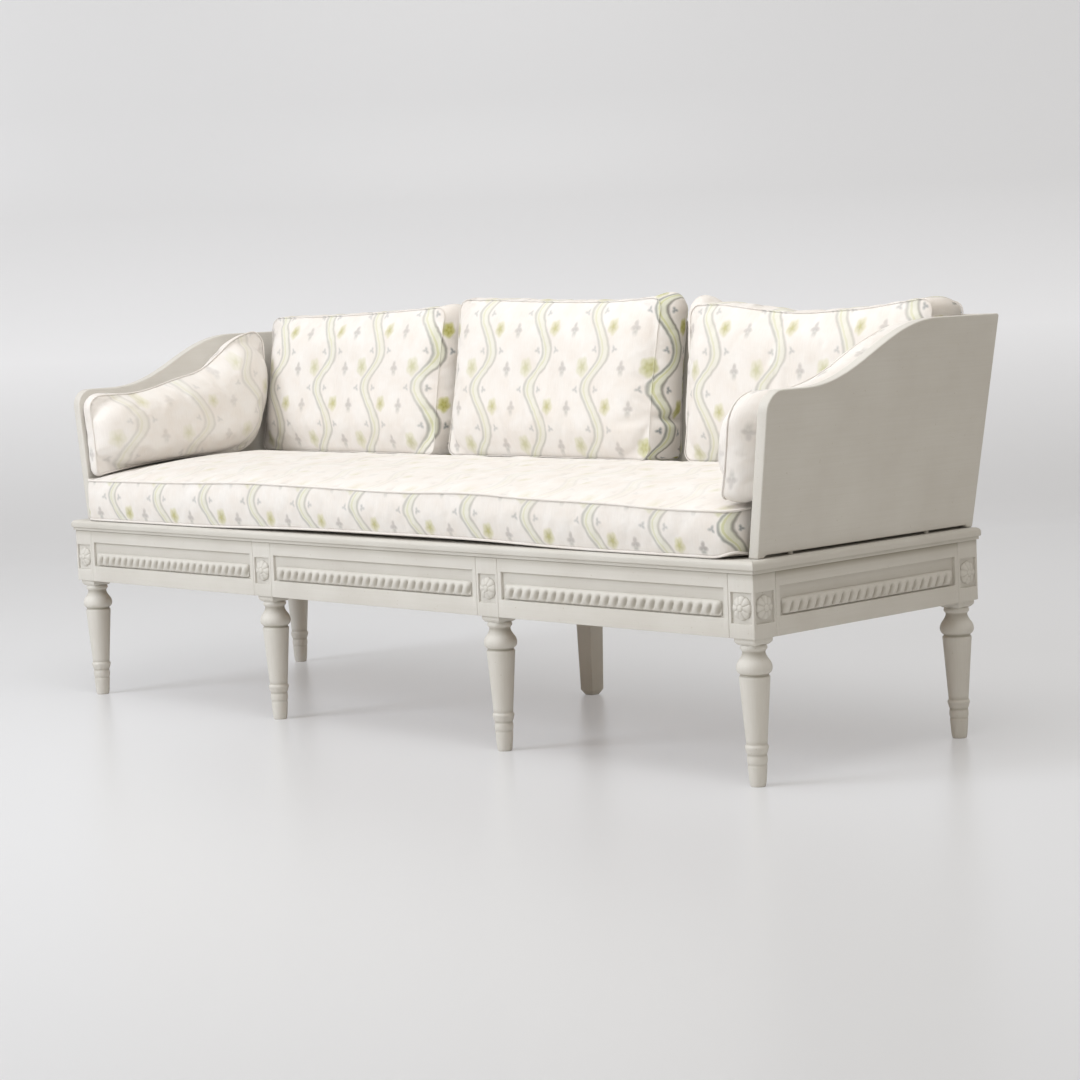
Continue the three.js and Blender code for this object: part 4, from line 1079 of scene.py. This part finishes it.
# %% Back cushions
def back_cushion(name, node, middle_x, settled, tops, first_ribbon, row, fullness, pinches):
    """Settled is how far the top has sunk aside and thinned; tops are rises of the top edge at even
    steps across, and fullness is how far the left and right sides bulge, in millimetres."""
    half = BACK_WIDTH / 2
    across = np.linspace(-half, half, 200)
    rise = smoothed(np.interp(across, np.linspace(-half, half, len(tops)), tops), 21)
    top = np.stack([across, BACK_HEIGHT + rise - 5.0 * (1 - (across / half) ** 2)], -1)[::-1]
    foot = 3.0
    sides = rounded_sides([
        bowed((-half, foot), (half, foot), 2.0),
        bowed((half, foot), tuple(top[0]), 7.0), top,
        bowed(tuple(top[-1]), (-half, foot), 7.0)], [22.0, 22.0, 26.0, 26.0], (75, 40))
    level = (BACK_WIDTH - BACK_HEIGHT) / BACK_WIDTH

    def front(flat, s, t):
        dents = sum(fold(flat, a, b, depth, width) for a, b, depth, width in pinches)
        edge = np.minimum(np.minimum(s, 1 - s), np.minimum(t, 1 - t))
        crown = 24.0 * crown_share(s, t, level, power=5.0, round_power=3.4) ** 0.7
        return crown - dents * np.clip(edge * 30, 0, 1)

    def rear(flat, s, t):
        return 6.0 * crown_share(s, t, level, power=3.0)

    def swell(loop, across):
        dents = sum(fold(loop, a, b, depth, width) for a, b, depth, width in pinches)
        side = np.clip((np.abs(loop[:, 0]) - half + 30) / 20, 0, 1) * np.clip((loop[:, 1] - 20) / 60, 0, 1)
        return 3.0 + (5.0 + np.where(loop[:, 0] < 0, *fullness)) * side - 1.5 * dents

    def reach(flat, s, t):
        return 9.0 - 7.0 * np.clip((40 - flat[..., 1]) / 40, 0, 1)

    def strip_reach(loop, across):
        return np.where(loop[:, 1] > 40, 5.0, 0.6) * (1 - 0.5 * (np.abs(loop[:, 0]) > half - 60))

    def panel_map(flat):
        return np.stack([flat[..., 0] + half - first_ribbon, BACK_FOOT + flat[..., 1] - row], -1)

    # The boxing's print carries on from the front panel's, as if one piece of cloth went round
    maps = [panel_map, lambda flat: np.stack([flat[..., 0] + 20.0, flat[..., 1]], -1),
            lambda run, depth, spread: panel_map(spread)]
    # Painted light: the print is paler on the lit panels and stronger on the right sides, which lie in shade
    prints_and_painted_light = [grown(low, high, half - 45, half - 5) for low, high in ((0.45, 0.9), (0.4, 1.0))]
    piece, seams = boxed_cushion(name, node, sides, BACK_BOXING, front, rear, swell,
                                 leaning(middle_x, *settled), maps,
                                 [reach, lambda flat, s, t: 0.5, strip_reach], 12, prints_and_painted_light)
    return piece, seams


back_left, back_left_seams = back_cushion(
    "sewn_back_cushion_left", "back_cushion_left", middle_x=-672.0, settled=(12.0, 0.16),
    tops=[-6, -3, 0, 4, 7], first_ribbon=78.0, row=622.0, fullness=(0.0, 9.0),
    pinches=[((300, 60), (210, 90), 3.0, 12.0)])
back_middle, back_middle_seams = back_cushion(
    "sewn_back_cushion_middle", "back_cushion_middle", middle_x=-27.0, settled=(11.0, 0.18),
    tops=[22, 21, 17, 13, 10, 14], first_ribbon=128.0, row=618.0, fullness=(0.0, 14.0),
    pinches=[((300, 88), (185, 70), 9.0, 8.0), ((300, 88), (215, 125), 5.0, 9.0),
             ((-300, 250), (-230, 235), 2.5, 14.0)])
back_right, back_right_seams = back_cushion(
    "sewn_back_cushion_right", "back_cushion_right", middle_x=672.0, settled=(3.0, 0.05),
    tops=[-6, -3, -11, -19, -23, -20, -18, -10, -4], first_ribbon=84.0, row=610.0, fullness=(30.0, 0.0),
    pinches=[((-60, 318), (-40, 210), 4.0, 26.0)])
print("back cushion faces", len(back_middle.data.polygons))

# %% [markdown]
# ## Side cushions
# A side cushion is cut to the end board: its lower edge follows the crowned seat, its upper edge
# the board's sweep. The stuffing pushes its inner seam a little forward of the outer one.

# %% Side cushion places
SIDE_BOXING, SIDE_CROWN = 52.0, 48.0
SIDE_SEAM = 962.7  # how far the outer seam's plane stands from the middle, at the boards' foot
SIDE_ROW = 654.0  # a row of blossoms
side_front, side_low, side_high = END_FRONT + 8, FRONT_HEIGHT - 14, REAR_HEIGHT - 14
side_rear_foot = front_seam(BOARD_FOOT + SEAT_BOXING) - 66
side_rear_top = front_seam(BOARD_FOOT + side_high) - 24
side_middle = (side_front + side_rear_top) / 2


def side_place(side, slump, dip, perk):
    """Place of a side cushion: depth comes inward from the leaning end board. Slump is how far the
    outer upper edge has sunk below the inner one in the middle of the sweep, dip is how far both
    have sunk high on the sweep, and perk is how far the inner one stands up in front and at the rear."""
    def place(flat, depth):
        y, height = flat[..., 0], flat[..., 1]
        bottom = seat_top(y) - BOARD_FOOT
        sunk = slump * np.exp(-((y + 40) / 160) ** 2) * np.clip(1 - depth / SIDE_BOXING, 0, 1)
        height = height - sunk * np.clip((height - bottom) / 200, 0, 1.2)
        inward = np.clip(depth / SIDE_BOXING, 0, 1)
        forward = np.clip((side_middle - y) / (side_middle - side_front), 0, 1)
        backward = np.clip((y - 80) / (side_rear_top - 100), 0, 1)
        upper = np.clip((height - bottom) / 200, 0, 1)
        height = height + upper * inward * (perk[0] * forward + perk[1] * backward)
        height = height - upper * dip * np.exp(-((y - 25) / 70) ** 2)
        x = side * (SIDE_SEAM + LEAN * height - depth)
        return np.stack([x, y - 22.0 * inward * forward, BOARD_FOOT + height], -1)
    return place


# %% Side cushions
foot_y = np.linspace(side_front, side_rear_foot, 200)
side_foot = np.stack([foot_y, seat_top(foot_y) + 3.0 - BOARD_FOOT], -1)
side_sweep = sweep(END_FRONT + 96, min(END_FRONT + 456, side_rear_top - 34), side_low, side_high, 150)
side_top = np.concatenate([[(side_front, side_low)], side_sweep, [(side_rear_top, side_high)]])[::-1]


def side_cushion(name, node, side, slump, dip, perk, round_front, first_ribbon):
    """Both are cut alike and mirrored, but have settled differently. Round_front is the radius of the
    upper front corner in millimetres."""
    sides = rounded_sides([
        side_foot, bowed(side_foot[-1], (side_rear_top, side_high), -18.0), side_top,
        bowed((side_front, side_low), side_foot[0], 4.0)], [14.0, 60.0, 34.0, round_front], (60, 34))

    def reach(flat, s, t):
        return 8.0 * np.clip(t * 5, 0.15, 1)

    maps = [
        lambda flat: np.stack([flat[..., 0] + first_ribbon, BOARD_FOOT + flat[..., 1] - SIDE_ROW], -1),
        plain_map,
        lambda run, depth, spread: np.stack([depth - SIDE_BOXING / 2 + 1000 * PITCH / 2, run + 20.0], -1),
    ]
    piece, seams = boxed_cushion(
        name, node, sides, SIDE_BOXING,
        lambda flat, s, t: SIDE_CROWN * crown_share(s, t, power=7.0, round_power=3.0) ** 0.55,
        lambda flat, s, t: 3.5 * crown_share(s, t, power=3.0),
        lambda loop, across: 7.0, side_place(side, slump, dip, perk), maps,
        [reach, lambda flat, s, t: 0.3,
         lambda loop, across: np.where(loop[:, 1] > seat_top(loop[:, 0]) + 30 - BOARD_FOOT, 2.5, 0.5)], 8,
        [lambda flat: 0.24, lambda loop: 0.35])
    return piece, seams


side_left, side_left_seams = side_cushion(
    "sewn_side_cushion_left", "side_cushion_left", side=-1, slump=38.0, dip=24.0, perk=(0.0, 18.0),
    round_front=34.0, first_ribbon=203.0)
side_right, side_right_seams = side_cushion(
    "sewn_side_cushion_right", "side_cushion_right", side=1, slump=0.0, dip=0.0, perk=(13.0, 4.0),
    round_front=60.0, first_ribbon=168.0)
print("side cushion faces", len(side_left.data.polygons))

# %% [markdown]
# ## Stuffing
# Feathers push a cushion's cloth outward until its seams hold it, and the cloth, a little too wide
# for its seams, puckers along them. Blender's cloth solver does the same: the seams are held, air
# pressure pushes from inside, and the cloth's rest length is made slightly longer. The solver's
# broad swelling is kept within each point's reach, while its fine puckers are kept as they are.


# %% Stuffing
def averaged(values, edges, rounds):
    """Each value becomes the mean of itself and its neighbours, a number of times."""
    ends = np.concatenate([edges, edges[:, ::-1]])
    count = 1 + np.bincount(ends[:, 0], minlength=len(values))
    for _ in range(rounds):
        total = values.copy()
        for k in range(3):
            total[:, k] += np.bincount(ends[:, 0], values[ends[:, 1], k], minlength=len(values))
        values = total / count[:, None]
    return values


def read(collection, attribute, width):
    """The values of a mesh's points or edges as an array."""
    out = np.empty(len(collection) * width, np.float64 if width == 3 else np.int32)
    collection.foreach_get(attribute, out)
    return out.reshape(-1, width)


def stuff(pieces, frames=20):
    """Blows the pieces up together, and then keeps each point within its reach."""
    for piece in pieces:
        held = np.empty(len(piece.data.vertices), np.float32)
        piece.data.attributes["held"].data.foreach_get("value", held)
        seam = piece.vertex_groups.new(name="seam")
        seam.add(np.flatnonzero(held > 0.5).tolist(), 1.0, "REPLACE")
        cloth = piece.modifiers.new("cloth", "CLOTH")
        cloth.settings.quality = 6
        cloth.settings.mass = 0.25
        cloth.settings.tension_stiffness = 12
        cloth.settings.compression_stiffness = 12
        cloth.settings.shear_stiffness = 4
        cloth.settings.bending_stiffness = 0.15
        cloth.settings.use_pressure = True
        cloth.settings.uniform_pressure_force = 4
        cloth.settings.shrink_min = -0.025
        cloth.settings.vertex_group_mass = "seam"
        cloth.settings.effector_weights.gravity = 0
        cloth.point_cache.frame_start, cloth.point_cache.frame_end = 1, frames
    for frame_number in range(1, frames + 1):
        scene.frame_set(frame_number)
    graph = bpy.context.evaluated_depsgraph_get()
    for piece in pieces:
        mesh = piece.data
        rest = read(mesh.vertices, "co", 3)
        blown = piece.evaluated_get(graph).to_mesh()
        moved = read(blown.vertices, "co", 3) - rest
        piece.evaluated_get(graph).to_mesh_clear()
        limit = np.empty(len(rest), np.float32)
        mesh.attributes["reach"].data.foreach_get("value", limit)
        limit = limit[:, None] * MM
        broad = averaged(moved, read(mesh.edges, "vertices", 2), 24)
        fine = moved - broad
        size = np.maximum(np.linalg.norm(broad, axis=1, keepdims=True), 1e-9)
        kept = broad / size * limit * np.tanh(size / limit)
        size = np.maximum(np.linalg.norm(fine, axis=1, keepdims=True), 1e-9)
        kept += fine / size * np.minimum(size, 0.6 * limit)
        mesh.vertices.foreach_set("co", (rest + kept).ravel())
        piece.modifiers.remove(piece.modifiers["cloth"])
        mesh.update()
        print(piece.name, "broad", round(float(np.abs(broad).max()) * 1000, 1), "mm, fine",
              round(float(np.abs(fine).max()) * 1000, 1), "mm")
    scene.frame_set(1)


scene = bpy.context.scene
cushions = [seat_cushion, back_left, back_middle, back_right, side_left, side_right]
stuff(cushions)
for piece in cushions:
    smooth = piece.modifiers.new("smooth", "SUBSURF")
    smooth.levels = smooth.render_levels = 1

# %% [markdown]
# ## Piped seams
# Along both seams of every cushion runs a thin cord in a strip of the same linen. On the seat and the
# side cushions the strip comes from a part with no print; on the back cushions it follows the panel.
# It shows as a fine raised line with a shadow. Each cord is a small ring carried round its seam.


# %% Piping
def piping(name, body, seam, flat, print_and_painted_light, radius):
    """Points of a ring about each seam point, in the plane across the seam's direction."""
    ahead = unit(np.roll(seam, -1, 0) - np.roll(seam, 1, 0))
    inside = seam.mean(0) - seam
    first = unit(inside - np.sum(inside * ahead, 1, keepdims=True) * ahead)
    second = np.cross(ahead, first)
    around = np.linspace(0, 2 * np.pi, 9)
    rings = (seam[:, None] + radius * (np.cos(around)[None, :, None] * first[:, None]
                                       + np.sin(around)[None, :, None] * second[:, None]))
    rings = np.concatenate([rings, rings[:1]])
    flat = flat[:, None] + radius * around[None, :, None] * np.array([1, -1])
    return sewn(name, body, [(rings, flat, 0.0, 0.0, print_and_painted_light[:, None])])


piped = (  # body, seams, the cord's radius, and 1 where the strip is printed
    ("seat_cushion", seat_seams, 2.4, 0),
    ("back_cushion_left", back_left_seams, 1.0, 1),
    ("back_cushion_middle", back_middle_seams, 1.0, 1),
    ("back_cushion_right", back_right_seams, 1.0, 1),
    ("side_cushion_left", side_left_seams, 1.6, 0),
    ("side_cushion_right", side_right_seams, 1.6, 0),
)
for body, seams, radius, printed in piped:
    for edge_name, (seam, flat, print_and_painted_light) in zip(("inner", "outer"), seams):
        cord = piping(f"piping_{body}_{edge_name}", body, seam, flat, print_and_painted_light * printed, radius)
print("piping faces", len(cord.data.polygons))

# %% [markdown]
# ## Stage and light
# The settee stands on a pale polished floor before a pale wall. A sheet that curves from floor to
# wall has no corner to show. The floor is a little shiny, so the legs are mirrored softly in it.
# Walls built round the whole piece would stand in the way of a camera that goes round it, so there
# is one, and it is seen only from its front: from behind, the camera looks through it. One large
# soft lamp stands to the left of the camera, so the long front is lit and the near end falls into
# shade. A second one overhead lifts the seat, and an even, slightly warm room fills the shade.

# %% Stage
away = np.array([ahead.x, ahead.y]) / math.hypot(ahead.x, ahead.y)
sideways = np.array([away[1], -away[0]])
cove = np.linspace(0, math.pi / 2, 13)
run = np.concatenate([[-9.0, -3.0, 0.0], 3.4 + 1.6 * np.sin(cove), [5.0]])
rise = np.concatenate([[0.0, 0.0, 0.0], 1.6 - 1.6 * np.cos(cove), [7.0]])
across = np.linspace(-9, 9, 7)
sheet_points = np.concatenate([
    run[:, None, None] * away + across[None, :, None] * sideways,
    np.broadcast_to(rise[:, None, None], (len(run), len(across), 1))], -1).reshape(-1, 3)
backdrop_mesh = bpy.data.meshes.new("backdrop")
backdrop_mesh.from_pydata(sheet_points.tolist(), [], grid_faces(len(run), len(across), False).tolist())
backdrop_mesh.shade_smooth()
backdrop = bpy.data.objects.new("backdrop", backdrop_mesh)
bpy.context.scene.collection.objects.link(backdrop)
backdrop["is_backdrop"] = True
print("backdrop faces", len(backdrop_mesh.polygons))


# %% Floor and wall finish
def in_sight(tree):
    """1 on rays from the camera and on what gloss or glass shows of them, 0 on rays that only light."""
    kinds = add(tree, "LightPath").node.outputs
    seen = kinds["Is Camera Ray"]
    for kind in ("Is Glossy Ray", "Is Transmission Ray"):
        seen = maths(tree, "MAXIMUM", seen, kinds[kind])
    return seen


floor_finish = bpy.data.materials.new("pale_polished_floor")
tree = cleared(floor_finish)
seen = in_sight(tree)
# The camera sees a floor and a wall that glow a little, so the shadow on them is pale; the settee is
# lit by the plain ones
base = mixed(tree, seen, linear("#E4E3E1"), linear("#BABBBD"))
surface = add(tree, "BsdfPrincipled", {"Base Color": base, "Roughness": 0.3, "IOR": 1.45})
spot = add(tree, "SeparateXYZ", {"Vector": add(tree, "TexCoord", output="Object")})
foot = ranged(tree, spot.node.outputs["Z"], 0.0, 0.65, 0.2, 0.46)
high = ranged(tree, spot.node.outputs["Z"], 0.65, 1.2, 1.0, 0.74)
high = maths(tree, "MULTIPLY", high, foot)
glow = maths(tree, "MULTIPLY", high, seen)
lit = add(tree, "Emission", {"Color": linear("#FAFBFF"), "Strength": glow})
both = add(tree, "AddShader", {0: surface, 1: lit})
# From behind, the camera looks through the wall
rear = add(tree, "NewGeometry", output="Backfacing")
rays = add(tree, "LightPath", output="Is Camera Ray")
through = maths(tree, "MULTIPLY", rear, rays)
both = add(tree, "MixShader", {0: through, 1: both, 2: add(tree, "BsdfTransparent")})
add(tree, "OutputMaterial", {"Surface": both})
backdrop_mesh.materials.append(floor_finish)

# %% Light
scene.view_settings.view_transform = "Standard"
world = bpy.data.worlds.new("even_pale_room")
tree = cleared(world)
room = add(tree, "Background", {"Color": linear("#FFF6E8"), "Strength": 0.5})
# Past the end of the floor, the camera sees the colour that the floor has there
beyond = add(tree, "Background", {"Color": linear("#C7C6C6"), "Strength": 1.0})
add(tree, "OutputWorld", {"Surface": add(tree, "MixShader", {0: in_sight(tree), 1: room, 2: beyond})})
scene.world = world


def soft_lamp(name, place, aim, size, power, colour):
    """A square area lamp of a size in metres, turned so that its face looks at the aim."""
    data = bpy.data.lights.new(name, "AREA")
    data.shape, data.size, data.energy, data.color = "SQUARE", size, power, linear(colour)[:3]
    lamp = bpy.data.objects.new(name, data)
    direction = Vector(aim) - Vector(place)
    lamp.matrix_world = Matrix.Translation(place) @ direction.to_track_quat("-Z", "Y").to_matrix().to_4x4()
    scene.collection.objects.link(lamp)
    return lamp


soft_lamp("key", (-2.1, -4.5, 3.2), (0, 0, 0.4), 2.2, 156, "#F3F8FF")
soft_lamp("overhead", (0.8, -0.9, 3.4), (0, -0.1, 0.4), 2.4, 57, "#FFFFFF")

# %% [markdown]
# ## Finish
# The box of the finished settee is printed.

# %% Finish
low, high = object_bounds()
print("visual box", tuple(low), tuple(high))
